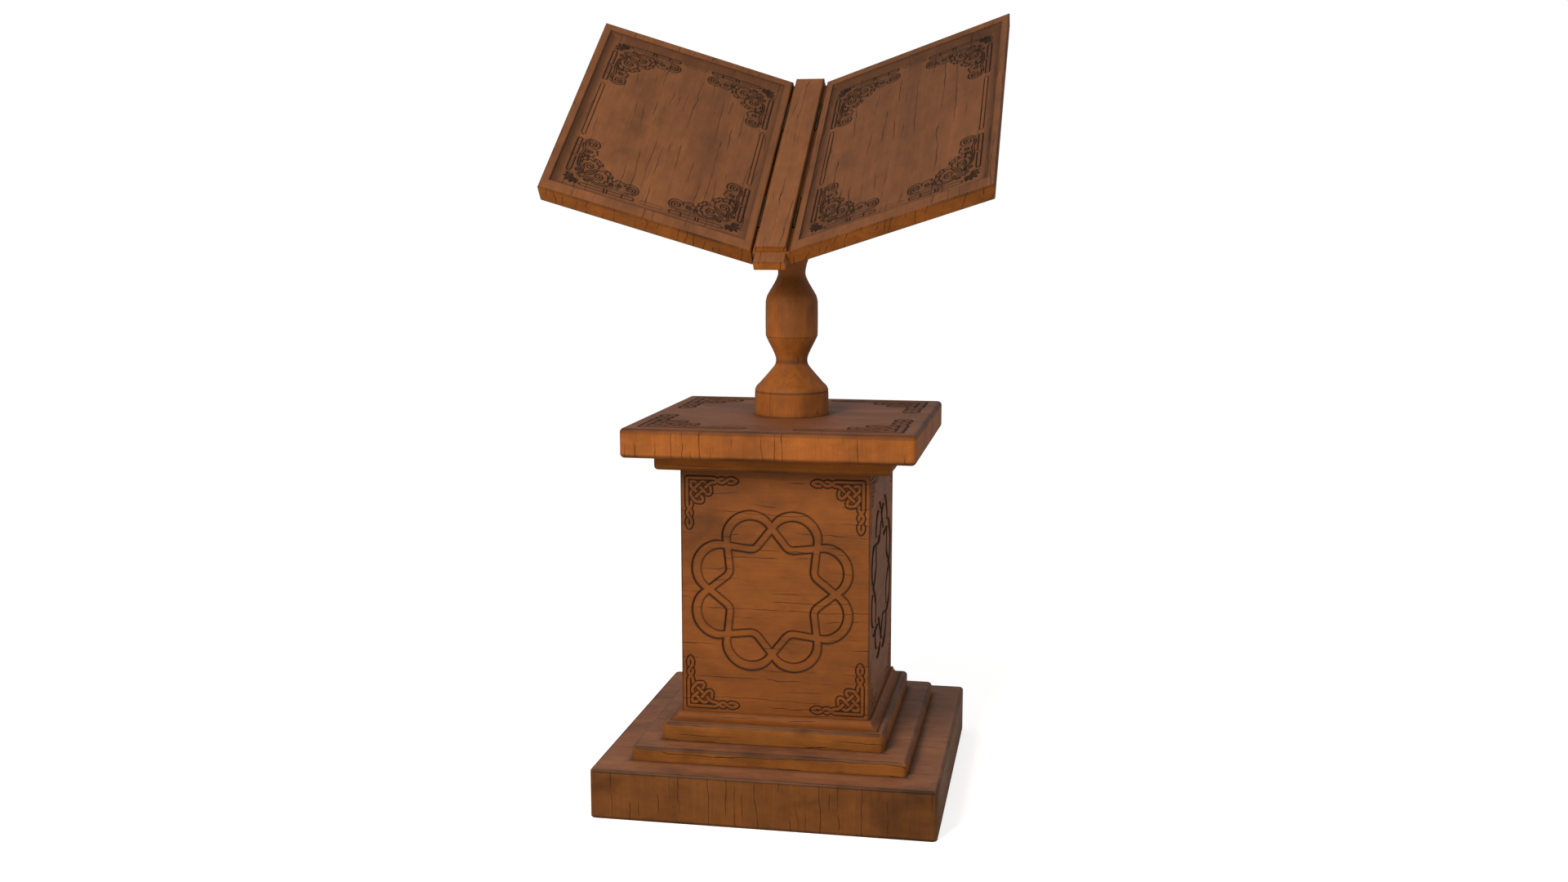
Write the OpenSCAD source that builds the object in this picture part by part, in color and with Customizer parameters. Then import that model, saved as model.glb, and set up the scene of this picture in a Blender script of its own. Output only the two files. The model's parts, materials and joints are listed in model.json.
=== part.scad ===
// Quran stand: a stepped plinth, a hollow square pedestal, a turned column
// and an open-book rest whose two boards hinge on a sloping spine.
// Origin: centre of the plinth's underside. +X right, +Y to the back, +Z up.

/* [Plinth] */
// Width and depth of the lowest slab
base_w = 480; // [460:5:520]
// Height of the lowest slab
base_h = 70; // [60:1:80]
// Width of the middle step
middle_w = 386; // [370:2:396]
// Height of the middle step
middle_h = 20; // [16:1:26]
// Width of the upper step
upper_w = 315; // [305:1:325]
// Height of the upper step
upper_h = 26; // [20:1:32]

/* [Pedestal] */
// Outer width of the square box
box_w = 268; // [260:2:276]
// Height of the carved panels
box_h = 361.5; // [340:0.5:380]
// Thickness of the carved panels
panel_t = 18; // [15:1:20]
// Height of the cove moulding at the foot
cove_h = 11.5; // [9:0.5:14]
// How far the cove moulding stands out
cove_out = 13; // [10:0.5:16]
// Width of the cornice board
cornice_w = 330; // [320:2:340]
// Thickness of the cornice board
cornice_h = 21; // [18:1:26]
// Width of the top slab
top_w = 404; // [390:2:420]
// Height of the top slab
top_h = 41.5; // [36:0.5:48]

/* [Column] */
// Height of the turned column above the top slab
column_h = 260; // [255:1:265]
// Radius of the round foot
foot_r = 53.5; // [50:0.5:58]
// Radius of the thick middle
belly_r = 37.7; // [34:0.1:42]
// Radius at the upper neck
neck_r = 20; // [19:0.5:22]

/* [Book rest] */
// Backward tilt of the whole rest, degrees
rest_tilt = 37.6; // [36:0.1:39]
// Rise of each board from the spine outwards, degrees
wing_rise = 21.7; // [20:0.1:24]
// Half of the gap between the two boards
wing_x = 26; // [26:0.1:26.4]
// Width of a board along its slope
wing_w = 294; // [280:1:300]
// Length of a board from front to back
wing_len = 407; // [395:1:415]
// Thickness of a board, square to the spine
wing_t = 24; // [23:0.5:26]
// Depth of the sunken field in each board
recess_d = 6; // [5:0.5:7]
// Width of the spine
spine_w = 43; // [42:0.5:43]

/* [Hidden] */

// Heights of the stack
middle_z = base_h;
upper_z = middle_z + middle_h;
box_z = upper_z + upper_h;
cornice_z = box_z + box_h;
top_z = cornice_z + cornice_h;
column_z = top_z + top_h;

// Rounding of the edges that hands touch
slab_round = 6;
step_round = 5;
corner_round = 5;
board_round = 2.5;

// Inside of the pedestal box
inner_w = box_w - 2 * panel_t;
glue_gap = 0.2;
block_leg = 32;
inner_board_t = 18;
screw_grid = 85;
base_screw_grid = 140;
base_screw_z = 22;
base_screw_len = 86;
bottom_screw_z = box_z + inner_board_t;
bottom_screw_len = 36;
top_screw_z = cornice_z - inner_board_t;
top_screw_len = 66;

// Clamping rod through the whole stack
rod_r = 6;
rod_hole_r = 6.6;
rod_bottom = 8;
rod_up_into_column = 34;
nut_recess_r = 20;
nut_recess_h = 25;
washer_h = 3;
nut_h = 10;
nut_flats = 19;
insert_r = 8.5;
insert_h = 30;
tenon_r = 20;
tenon_h = 30;

// Screws: shank radius, head radius, head height
big_screw = [3, 6, 4];
wood_screw = [2.5, 4.8, 3];
small_screw = [1.4, 2.6, 1.2];

// Turned profile: height above the slab and radius at each turn of the curve
column_turns = [
  [0, foot_r], [31, foot_r], [36, 53], [41, 50.5], [46, 45.5], [58, 35], [69, 25.8],
  [74, 23.3], [79, 22.8], [85, 24], [94, 28], [103, 32.6], [111, 36.3], [118, belly_r],
  [158, belly_r], [165, 37], [172, 35], [184, 28], [193, 23], [201, neck_r],
  [208, 20.1], [216, 21.8], [224, 24.6], [232, 28.4], [239, 32.4], [245, 35], [250, 36],
  [257, 36], [260, 34.5]
];
turn_steps = 4;
column_scale = column_h / 260;

// Swivel between the column and the book rest
column_top = column_z + column_h;
pin_r = 8;
pin_in_column = 55;
pin_above = 42;
groove_r = 6.2;
groove_h = 7;
groove_z = 24;
washer_t = 3;
plate_t = 5;
plate_r = 36;
run_gap = 0.1;
fit_gap = 0.05;
bush_r = 11;
plate_z = column_top + washer_t + run_gap;
saddle_z = plate_z + plate_t;
saddle_half = 55;
bush_h = pin_above - washer_t - plate_t + 4;
plate_screw_at = [14, 24];
plate_screw_len = 28;
retaining_r = 2.5;
retaining_z = column_top + groove_z + groove_h / 2;
dowel_r = 5;
dowel_len = 22;
dowel_at = [150, 232];

// Book rest, in its own frame: x across, s up the slope, n square to it
rest_y = -165.2;
rest_z = column_top - 22.9;
rise = tan(wing_rise);
wing_out = wing_x + wing_w * cos(wing_rise);
margin_side = 11.5;
margin_front = 20;
margin_back = 15.5;
panel_seat = recess_d + 8;
cap_top = 4;
cap_bottom = -5;
cap_s = [5, 410];
block_s = [-16, 413];
block_bottom = -19.4;

// Hinges: the axis lies in the gap between spine and board
hinge_x = (wing_x + spine_w / 2) / 2;
hinge_n = -2.5;
knuckle_r = 2.1;
hinge_pin_r = 1.2;
leaf_t = 1;
leaf_n = [-18, -2.6];
hinge_len = 64;
knuckles = 5;
hinge_s = [58, 286];
hinge_rows = [14, 50];
hinge_holes = [for (s = hinge_rows) for (n = [-8, -14]) [s, n]];
hinge_screw_len = 9.5;

// Beds on the spine that close the gap beside the boards, between the hinges
bed_x = wing_x - 0.6;
bed_n = -5.2;
bed_runs = [
  [3, hinge_s[0] - 1],
  [hinge_s[0] + hinge_len + 1, hinge_s[1] - 1],
  [hinge_s[1] + hinge_len + 1, 405]
];

// Bearers under the boards
bearer_t = 22;
bearer_half = 165;
bearer_s = [78, 300];
bearer_relief = 41;
felt_t = 1.5;
felt_gap = 0.3;
bearer_drop = felt_t + felt_gap;
bearer_bottom = -60;
bearer_screw_n = -50;
bearer_screw_len = 42;
bearer_screw_x = 12;

// Colours
wood = [0.60, 0.36, 0.18];
wood_dark = [0.50, 0.29, 0.14];
wood_light = [0.68, 0.45, 0.25];
plain_wood = [0.76, 0.60, 0.40];
steel = [0.62, 0.63, 0.65];
brass = [0.72, 0.56, 0.28];
felt = [0.20, 0.28, 0.20];

// ---------- shared shapes ----------

// Material to remove along one straight edge to round it, running along +Z
module edge_cutter(length, r) {
  translate([0, 0, -1])
    linear_extrude(length + 2)
      difference() {
        square(r + 1);
        circle(r, $fn = 48);
      }
}

// Square slab with rounded upright corners and rounded top and bottom edges
module rounded_slab(w, h, top_r, bottom_r, corner_r) {
  difference() {
    translate([-w / 2, -w / 2, 0]) cube([w, w, h]);
    for (a = [0 : 90 : 270]) rotate([0, 0, a]) {
      translate([w / 2 - corner_r, w / 2 - corner_r, 0]) edge_cutter(h, corner_r);
      if (top_r > 0)
        translate([w / 2 - top_r, -w / 2, h - top_r])
          rotate([90, 0, 0]) mirror([0, 0, 1]) edge_cutter(w, top_r);
      if (bottom_r > 0)
        translate([w / 2 - bottom_r, w / 2, bottom_r])
          rotate([90, 0, 0]) mirror([0, 1, 0]) edge_cutter(w, bottom_r);
    }
  }
}

// Countersunk screw with its head at z = 0 and its shank pointing up
module screw(size, length) {
  shank = size[0];
  head = size[1];
  head_h = size[2];
  cylinder(h = head_h, r1 = head, r2 = shank, $fn = 32);
  translate([0, 0, head_h - 0.01]) cylinder(h = length - head_h, r = shank, $fn = 32);
}

module four(grid) {
  for (x = [-1, 1], y = [-1, 1]) translate([x * grid, y * grid, 0]) children();
}

module rod_hole(z, h, r = rod_hole_r) {
  translate([0, 0, z - 1]) cylinder(h = h + 2, r = r, $fn = 48);
}

// ---------- plinth ----------

module base_slab() {
  color(wood)
  difference() {
    rounded_slab(base_w, base_h, slab_round, 3, corner_round);
    rod_hole(0, base_h);
    rod_hole(0, nut_recess_h - 1, nut_recess_r);
    four(base_screw_grid) base_screw_bore();
  }
}

// Stepped bore for a long plinth screw, from the underside up
module base_screw_bore() {
  translate([0, 0, -1])
    cylinder(h = base_screw_z + big_screw[2] + 1, r = big_screw[1] + 1, $fn = 32);
  cylinder(h = base_screw_z + base_screw_len + 0.5, r = big_screw[0] + glue_gap, $fn = 32);
}

module middle_step() {
  color(wood_dark)
  difference() {
    translate([0, 0, middle_z]) rounded_slab(middle_w, middle_h, step_round, 0, corner_round);
    rod_hole(middle_z, middle_h);
    four(base_screw_grid) base_screw_bore();
  }
}

module upper_step() {
  color(wood)
  difference() {
    translate([0, 0, upper_z]) rounded_slab(upper_w, upper_h, step_round, 0, corner_round);
    rod_hole(upper_z, upper_h);
    four(base_screw_grid) base_screw_bore();
    four(screw_grid) bottom_screw_bore();
  }
}

module base_screws() {
  color(steel) four(base_screw_grid) translate([0, 0, base_screw_z]) screw(big_screw, base_screw_len);
}

// ---------- pedestal box ----------

// One side board of the box, mitred at both ends, facing -Y
module side_board() {
  o = box_w / 2;
  i = inner_w / 2;
  translate([0, 0, box_z])
    linear_extrude(box_h) polygon([[-o, -o], [o, -o], [i, -i], [-i, -i]]);
}

module front_panel() { color(wood) side_board(); }
module right_panel() { color(wood_dark) rotate([0, 0, 90]) side_board(); }
module back_panel() { color(wood) rotate([0, 0, 180]) side_board(); }
module left_panel() { color(wood_dark) rotate([0, 0, 270]) side_board(); }

// Cove moulding at the foot of one side, mitred at both ends, facing -Y
module cove_strip() {
  lip = 1.5;
  o = box_w / 2;
  intersection() {
    translate([-o - cove_out, -o, box_z])
      rotate([90, 0, 90])
        linear_extrude(box_w + 2 * cove_out)
          difference() {
            mirror([1, 0]) square([cove_out, cove_h]);
            translate([-cove_out, cove_h]) circle(min(cove_out, cove_h) - lip, $fn = 64);
          }
    translate([0, 0, box_z - 1])
      linear_extrude(cove_h + 2)
        polygon([[0, 0], [-box_w, -box_w], [box_w, -box_w]]);
  }
}

module foot_moulding_front() { color(wood_dark) cove_strip(); }
module foot_moulding_right() { color(wood_dark) rotate([0, 0, 90]) cove_strip(); }
module foot_moulding_back() { color(wood_dark) rotate([0, 0, 180]) cove_strip(); }
module foot_moulding_left() { color(wood_dark) rotate([0, 0, 270]) cove_strip(); }

// Triangular glue block standing in one inner corner
module corner_block(turn) {
  c = inner_w / 2 - glue_gap;
  color(plain_wood)
  rotate([0, 0, turn])
    translate([0, 0, box_z + inner_board_t])
      linear_extrude(box_h - 2 * inner_board_t)
        polygon([[-c, -c], [-c + block_leg, -c], [-c, -c + block_leg]]);
}

module corner_block_1() corner_block(0);
module corner_block_2() corner_block(90);
module corner_block_3() corner_block(180);
module corner_block_4() corner_block(270);

// Flat board that closes the box at its bottom or top
module inner_board(z) {
  w = inner_w - 2 * glue_gap;
  difference() {
    translate([-w / 2, -w / 2, z]) cube([w, w, inner_board_t]);
    rod_hole(z, inner_board_t);
    children();
  }
}

module bottom_screw_bore() {
  translate([0, 0, bottom_screw_z + 0.01])
    mirror([0, 0, 1])
      screw([for (v = wood_screw) v + glue_gap], bottom_screw_len + 0.3);
}

module bottom_board() {
  color(plain_wood) inner_board(box_z) four(screw_grid) bottom_screw_bore();
}

module bottom_board_screws() {
  color(steel) four(screw_grid)
    translate([0, 0, bottom_screw_z]) mirror([0, 0, 1]) screw(wood_screw, bottom_screw_len);
}

module top_screw_bore() {
  translate([0, 0, top_screw_z - 0.01]) screw([for (v = wood_screw) v + glue_gap], top_screw_len + 0.3);
}

module top_board() {
  color(plain_wood) inner_board(top_screw_z) four(screw_grid) top_screw_bore();
}

module cornice_screws() {
  color(steel) four(screw_grid) translate([0, 0, top_screw_z]) screw(wood_screw, top_screw_len);
}

module cornice_board() {
  color(wood_dark)
  difference() {
    translate([0, 0, cornice_z]) rounded_slab(cornice_w, cornice_h, 0, slab_round, corner_round);
    rod_hole(cornice_z, cornice_h);
    four(screw_grid) top_screw_bore();
  }
}

module top_slab() {
  color(wood)
  difference() {
    translate([0, 0, top_z]) rounded_slab(top_w, top_h, slab_round, slab_round, corner_round);
    rod_hole(top_z, top_h);
    rod_hole(column_z - tenon_h + 1, tenon_h, tenon_r);
    four(screw_grid) top_screw_bore();
  }
}

// ---------- clamping rod ----------

module tie_rod() {
  color(steel)
    translate([0, 0, rod_bottom])
      cylinder(h = column_z + rod_up_into_column - rod_bottom - tenon_h, r = rod_r, $fn = 48);
}

module tie_rod_washer() {
  color(steel)
  translate([0, 0, nut_recess_h - washer_h])
    difference() {
      cylinder(h = washer_h, r = nut_recess_r - 2, $fn = 48);
      translate([0, 0, -1]) cylinder(h = washer_h + 2, r = rod_r + 0.4, $fn = 48);
    }
}

module tie_rod_nut() {
  color(steel)
  translate([0, 0, nut_recess_h - washer_h - nut_h])
    difference() {
      cylinder(h = nut_h, d = nut_flats / cos(30), $fn = 6);
      translate([0, 0, -1]) cylinder(h = nut_h + 2, r = rod_r + fit_gap, $fn = 48);
    }
}

module threaded_insert() {
  color(brass)
  translate([0, 0, column_z - tenon_h])
    difference() {
      cylinder(h = insert_h, r = insert_r, $fn = 48);
      translate([0, 0, -1]) cylinder(h = insert_h + 2, r = rod_r + fit_gap, $fn = 48);
    }
}

// ---------- column ----------

// Smooth curve through the turns (Catmull-Rom), as [radius, height] points
function turn_at(i) = column_turns[max(0, min(len(column_turns) - 1, i))];
function smooth(i, t) =
  let (a = turn_at(i - 1), b = turn_at(i), c = turn_at(i + 1), d = turn_at(i + 2))
  0.5 * (2 * b + (c - a) * t + (2 * a - 5 * b + 4 * c - d) * t * t
         + (3 * b - a - 3 * c + d) * t * t * t);
column_curve = [
  for (i = [0 : len(column_turns) - 2]) for (k = [0 : turn_steps - 1])
    smooth(i, k / turn_steps)
];
column_outline = concat(
  [[0, 0]],
  [for (p = column_curve) [p[1], p[0] * column_scale]],
  [[column_turns[len(column_turns) - 1][1], column_h], [0, column_h]]
);

module column() {
  color(wood_light)
  difference() {
    translate([0, 0, column_z])
      union() {
        rotate_extrude($fn = 96) polygon(column_outline);
        translate([0, 0, -tenon_h]) cylinder(h = tenon_h + 1, r = tenon_r - 0.1, $fn = 64);
      }
    translate([0, 0, column_z - tenon_h - 1])
      cylinder(h = insert_h + 1, r = insert_r + fit_gap, $fn = 48);
    translate([0, 0, column_z - 5])
      cylinder(h = rod_up_into_column + 15 - tenon_h, r = rod_hole_r, $fn = 48);
    translate([0, 0, column_top - pin_in_column])
      cylinder(h = pin_in_column + 1, r = pin_r + fit_gap, $fn = 64);
  }
}

// ---------- swivel ----------

module swivel_pin() {
  color(steel)
  difference() {
    translate([0, 0, column_top - pin_in_column])
      cylinder(h = pin_in_column + pin_above, r = pin_r, $fn = 64);
    translate([0, 0, column_top + groove_z])
      difference() {
        cylinder(h = groove_h, r = pin_r + 1, $fn = 64);
        translate([0, 0, -1]) cylinder(h = groove_h + 2, r = groove_r, $fn = 64);
      }
  }
}

module thrust_washer() {
  color(brass)
  translate([0, 0, column_top])
    difference() {
      cylinder(h = washer_t, r = plate_r - 4, $fn = 64);
      translate([0, 0, -1]) cylinder(h = washer_t + 2, r = pin_r + 0.3, $fn = 64);
    }
}

module at_plate_screws() {
  for (x = [-1, 1], y = [-1, 1])
    translate([x * plate_screw_at[0], y * plate_screw_at[1], plate_z]) children();
}

module swivel_plate() {
  color(steel)
  difference() {
    translate([0, 0, plate_z]) cylinder(h = plate_t, r = plate_r, $fn = 64);
    translate([0, 0, plate_z - 1]) cylinder(h = plate_t + 2, r = pin_r + 0.3, $fn = 64);
    at_plate_screws() translate([0, 0, -0.01]) screw([for (v = wood_screw) v + 0.1], plate_t + 2);
  }
}

module plate_screws() {
  color(steel) at_plate_screws() screw(wood_screw, plate_screw_len);
}

module swivel_bush() {
  color(brass)
  difference() {
    translate([0, 0, saddle_z]) cylinder(h = bush_h, r = bush_r, $fn = 64);
    translate([0, 0, saddle_z - 1]) cylinder(h = bush_h + 2, r = pin_r + fit_gap, $fn = 64);
    retaining_bore(0.3);
  }
}

// Screw from the back of the saddle; its tip stands in the pin's groove
module retaining_bore(gap) {
  translate([0, groove_r + 0.6 - gap, retaining_z])
    rotate([-90, 0, 0]) cylinder(h = 80, r = retaining_r + gap, $fn = 32);
}

module retaining_screw() {
  color(steel)
  translate([0, 0, retaining_z]) rotate([-90, 0, 0]) {
    translate([0, 0, groove_r + 0.6])
      cylinder(h = saddle_half - groove_r - 0.6, r = retaining_r, $fn = 32);
    translate([0, 0, saddle_half]) cylinder(h = 4, r = 5, $fn = 32);
  }
}

// ---------- book rest ----------

// Places children given in the rest's own frame (x, s, n)
module rest_frame() {
  translate([0, rest_y, rest_z]) rotate([rest_tilt, 0, 0]) children();
}

// Extrudes an outline drawn in (x, n) from s0 to s1
module along_spine(s0, s1) {
  translate([0, s1, 0]) rotate([90, 0, 0]) linear_extrude(s1 - s0) children();
}

// Height, in the world, of the spine's underside at a given y
function spine_under(y) =
  rest_z + (y - rest_y) * tan(rest_tilt) + block_bottom / cos(rest_tilt);

module saddle_block() {
  color(wood_dark)
  difference() {
    translate([-spine_w / 2, 0, 0])
      rotate([90, 0, 90])
        linear_extrude(spine_w)
          polygon([
            [-saddle_half, saddle_z], [saddle_half, saddle_z],
            [saddle_half, spine_under(saddle_half)],
            [-saddle_half, spine_under(-saddle_half)]
          ]);
    translate([0, 0, saddle_z - 1]) cylinder(h = bush_h + 2, r = bush_r + fit_gap, $fn = 64);
    retaining_bore(0.05);
    at_plate_screws() cylinder(h = plate_screw_len + 0.5, r = wood_screw[0] + 0.05, $fn = 32);
    rest_frame() at_dowels() dowel_bore();
  }
}

module at_dowels() {
  for (s = dowel_at) translate([0, s, block_bottom]) children();
}

module dowel_bore() {
  cylinder(h = dowel_len + 1, r = dowel_r + fit_gap, center = true, $fn = 32);
}

module saddle_dowels() {
  color(plain_wood) rest_frame() at_dowels()
    cylinder(h = dowel_len, r = dowel_r, center = true, $fn = 32);
}

module spine_block() {
  h = spine_w / 2;
  color(wood_dark)
  rest_frame()
    difference() {
      union() {
        translate([-h, block_s[0], block_bottom])
          cube([spine_w, block_s[1] - block_s[0], cap_bottom - block_bottom]);
        for (run = bed_runs)
          translate([-bed_x, run[0], block_bottom])
            cube([2 * bed_x, run[1] - run[0], bed_n - block_bottom]);
      }
      for (side = [-1, 1]) at_hinges() spine_mortise(side);
      at_dowels() dowel_bore();
      at_bearer_screws() bearer_screw_bore();
    }
}

module spine_cap() {
  h = spine_w / 2;
  c = 2;
  color(wood)
  rest_frame()
    difference() {
      along_spine(cap_s[0], cap_s[1])
        polygon([
          [-h, cap_bottom], [h, cap_bottom], [h, cap_top - c],
          [h - c, cap_top], [-h + c, cap_top], [-h, cap_top - c]
        ]);
      for (side = [-1, 1]) at_hinges() spine_mortise(side);
    }
}

// ---------- hinges ----------

// Repeats children at the front and the rear hinge
module at_hinges() {
  for (s = hinge_s) translate([0, s, 0]) children();
}

// Screw bores of one leaf from the face at x; turn -1 into the spine, 1 into a board
module hinge_screw_bores(x, turn) {
  for (p = hinge_holes)
    translate([x - turn * 0.01, p[0], p[1]])
      rotate([0, turn * 90, 0])
        cylinder(h = hinge_screw_len + 0.4, r = small_screw[0] + fit_gap, $fn = 24);
}

// Shallow seat for a leaf in the side of the spine
module spine_mortise(side) {
  h = spine_w / 2;
  mirror([side > 0 ? 0 : 1, 0, 0]) {
    translate([h - leaf_t - fit_gap, -fit_gap, leaf_n[0] - fit_gap])
      cube([leaf_t + 1, hinge_len + 2 * fit_gap, leaf_n[1] - leaf_n[0] + 2 * fit_gap]);
    hinge_screw_bores(h, -1);
  }
}

// Shallow seat for a leaf in the inner face of the right-hand board
module wing_mortise() {
  translate([wing_x - 1, -fit_gap, leaf_n[0] - fit_gap])
    cube([leaf_t + 1 + fit_gap, hinge_len + 2 * fit_gap, leaf_n[1] - leaf_n[0] + 2 * fit_gap]);
  hinge_screw_bores(wing_x, 1);
}

// Lays an upright child along the hinge axis
module on_hinge_axis() {
  translate([hinge_x, 0, hinge_n]) rotate([-90, 0, 0]) children();
}

// Leaf with its share of the knuckles, for the right-hand side
// parity 0: spine leaf, outer knuckles; parity 1: wing leaf, inner knuckles
module leaf(parity) {
  pitch = hinge_len / knuckles;
  gap = 0.15;
  plate_x = parity == 0 ? spine_w / 2 - leaf_t : wing_x;
  web_x = parity == 0 ? spine_w / 2 - leaf_t : hinge_x;
  web_w = hinge_x - spine_w / 2 + leaf_t;
  difference() {
    union() {
      translate([plate_x, 0, leaf_n[0]]) cube([leaf_t, hinge_len, leaf_n[1] - leaf_n[0]]);
      for (k = [0 : knuckles - 1]) if (k % 2 == parity) translate([0, k * pitch + gap, 0]) {
        on_hinge_axis() cylinder(h = pitch - 2 * gap, r = knuckle_r, $fn = 48);
        translate([web_x, 0, hinge_n - knuckle_r]) cube([web_w, pitch - 2 * gap, leaf_t]);
      }
    }
    translate([0, -1, 0])
      on_hinge_axis() cylinder(h = hinge_len + 2, r = hinge_pin_r + fit_gap, $fn = 48);
    for (p = hinge_holes) translate([plate_x, p[0], p[1]])
      mirror([parity == 0 ? 0 : 1, 0, 0]) translate([parity == 0 ? leaf_t + 0.01 : 0.01, 0, 0])
        rotate([0, -90, 0]) screw([for (v = small_screw) v + 0.1], 4);
  }
}

// Places one hinge piece: side -1 left or 1 right, end 0 front or 1 rear
module hinge_piece(side, end) {
  rest_frame() mirror([side > 0 ? 0 : 1, 0, 0]) translate([0, hinge_s[end], 0]) children();
}

module left_front_spine_leaf() { color(brass) hinge_piece(-1, 0) leaf(0); }
module left_rear_spine_leaf() { color(brass) hinge_piece(-1, 1) leaf(0); }
module right_front_spine_leaf() { color(brass) hinge_piece(1, 0) leaf(0); }
module right_rear_spine_leaf() { color(brass) hinge_piece(1, 1) leaf(0); }
module left_front_wing_leaf() { color(brass) hinge_piece(-1, 0) leaf(1); }
module left_rear_wing_leaf() { color(brass) hinge_piece(-1, 1) leaf(1); }
module right_front_wing_leaf() { color(brass) hinge_piece(1, 0) leaf(1); }
module right_rear_wing_leaf() { color(brass) hinge_piece(1, 1) leaf(1); }

module pins(side) {
  for (end = [0, 1]) hinge_piece(side, end)
    on_hinge_axis() cylinder(h = hinge_len, r = hinge_pin_r, $fn = 48);
}

module left_hinge_pins() { color(steel) pins(-1); }
module right_hinge_pins() { color(steel) pins(1); }

module spine_hinge_screws() {
  color(brass) for (side = [-1, 1], end = [0, 1]) hinge_piece(side, end)
    for (p = hinge_holes) translate([spine_w / 2, p[0], p[1]])
      rotate([0, -90, 0]) screw(small_screw, hinge_screw_len);
}

module wing_screws(side) {
  color(brass) for (end = [0, 1]) hinge_piece(side, end)
    for (p = hinge_holes) translate([wing_x, p[0], p[1]])
      rotate([0, 90, 0]) screw(small_screw, hinge_screw_len);
}

module left_hinge_screws() wing_screws(-1);
module right_hinge_screws() wing_screws(1);

// ---------- boards ----------

// Height of the board's top face above the spine line at x
function board_top(x) = (x - wing_x) * rise;

// Cross-section between two x values and two depths below the top face
module board_section(x0, x1, d0, d1) {
  polygon([
    [x0, board_top(x0) - d1], [x1, board_top(x1) - d1],
    [x1, board_top(x1) - d0], [x0, board_top(x0) - d0]
  ]);
}

// The same with small chamfers on the two long top edges
module board_outline() {
  c = board_round;
  polygon([
    [wing_x, -wing_t], [wing_out, board_top(wing_out) - wing_t],
    [wing_out, board_top(wing_out) - c], [wing_out - c, board_top(wing_out - c)],
    [wing_x + c, board_top(wing_x + c)], [wing_x, -c]
  ]);
}

field_x = [wing_x + margin_side * cos(wing_rise), wing_out - margin_side * cos(wing_rise)];
field_s = [margin_front, wing_len - margin_back];

module board() {
  rest_frame()
    difference() {
      along_spine(0, wing_len) board_outline();
      along_spine(field_s[0], field_s[1]) board_section(field_x[0], field_x[1], -20, panel_seat);
      at_hinges() wing_mortise();
    }
}

module carved_panel() {
  g = glue_gap;
  rest_frame()
    along_spine(field_s[0] + g, field_s[1] - g)
      board_section(field_x[0] + g, field_x[1] - g, recess_d, panel_seat);
}

module right_board() { color(wood) board(); }
module left_board() { color(wood) mirror([1, 0, 0]) board(); }
module right_panel_carved() { color(wood_light) carved_panel(); }
module left_panel_carved() { color(wood_light) mirror([1, 0, 0]) carved_panel(); }

// ---------- bearers ----------

// Yoke board that carries both boards on felt strips
function bearer_top(x) = board_top(x) - wing_t - bearer_drop;

module bearer(s0) {
  h = spine_w / 2;
  relief = 3;
  right = [
    [h, block_bottom], [h, bearer_top(h) - relief - 3],
    [bearer_relief, bearer_top(bearer_relief) - relief],
    [bearer_relief, bearer_top(bearer_relief)],
    [bearer_half, bearer_top(bearer_half)], [bearer_half, bearer_top(bearer_half) - 12],
    [h + 20, bearer_bottom]
  ];
  left = [for (i = [len(right) - 1 : -1 : 0]) [-right[i][0], right[i][1]]];
  color(wood_dark)
  difference() {
    rest_frame() along_spine(s0, s0 + bearer_t) polygon(concat(right, left));
    rest_frame() at_bearer_screws() {
      bearer_screw_bore();
      translate([0, 0, -20])
        cylinder(h = 20 + wood_screw[2] + 0.1, r = wood_screw[1] + 0.3, $fn = 32);
    }
  }
}

module front_bearer() bearer(bearer_s[0]);
module rear_bearer() bearer(bearer_s[1]);

module at_bearer_screws() {
  for (s = bearer_s, x = [-1, 1])
    translate([x * bearer_screw_x, s + bearer_t / 2, bearer_screw_n]) children();
}

module bearer_screw_bore() {
  cylinder(h = bearer_screw_len + 0.5, r = wood_screw[0] + fit_gap, $fn = 32);
}

module bearer_screws() {
  color(steel) rest_frame() at_bearer_screws() screw(wood_screw, bearer_screw_len);
}

module felt_strips() {
  color(felt)
  for (side = [0, 1]) mirror([side, 0, 0]) rest_frame()
    for (s = bearer_s)
      along_spine(s + 2, s + bearer_t - 2)
        board_section(bearer_relief + 2, bearer_half - 2, wing_t + felt_gap, wing_t + bearer_drop);
}

base_slab();
middle_step();
upper_step();
foot_moulding_front();
foot_moulding_right();
foot_moulding_back();
foot_moulding_left();
front_panel();
right_panel();
back_panel();
left_panel();
corner_block_1();
corner_block_2();
corner_block_3();
corner_block_4();
bottom_board();
top_board();
cornice_board();
top_slab();
tie_rod();
tie_rod_nut();
tie_rod_washer();
threaded_insert();
base_screws();
bottom_board_screws();
cornice_screws();
column();
swivel_pin();
thrust_washer();
swivel_plate();
plate_screws();
swivel_bush();
retaining_screw();
saddle_block();
saddle_dowels();
spine_block();
spine_cap();
front_bearer();
rear_bearer();
bearer_screws();
felt_strips();
left_board();
left_panel_carved();
right_board();
right_panel_carved();
left_front_spine_leaf();
left_rear_spine_leaf();
right_front_spine_leaf();
right_rear_spine_leaf();
left_front_wing_leaf();
left_rear_wing_leaf();
right_front_wing_leaf();
right_rear_wing_leaf();
left_hinge_pins();
right_hinge_pins();
spine_hinge_screws();
left_hinge_screws();
right_hinge_screws();
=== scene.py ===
"""Quran stand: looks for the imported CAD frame.

The visible wood is rebuilt here as finely meshed boards with carved relief and eased
edges, placed from the CAD nodes' own boxes; the fittings stay CAD and get materials.
Lengths in this file are metres; MM turns millimetres into metres.
"""
import json
import math

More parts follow.
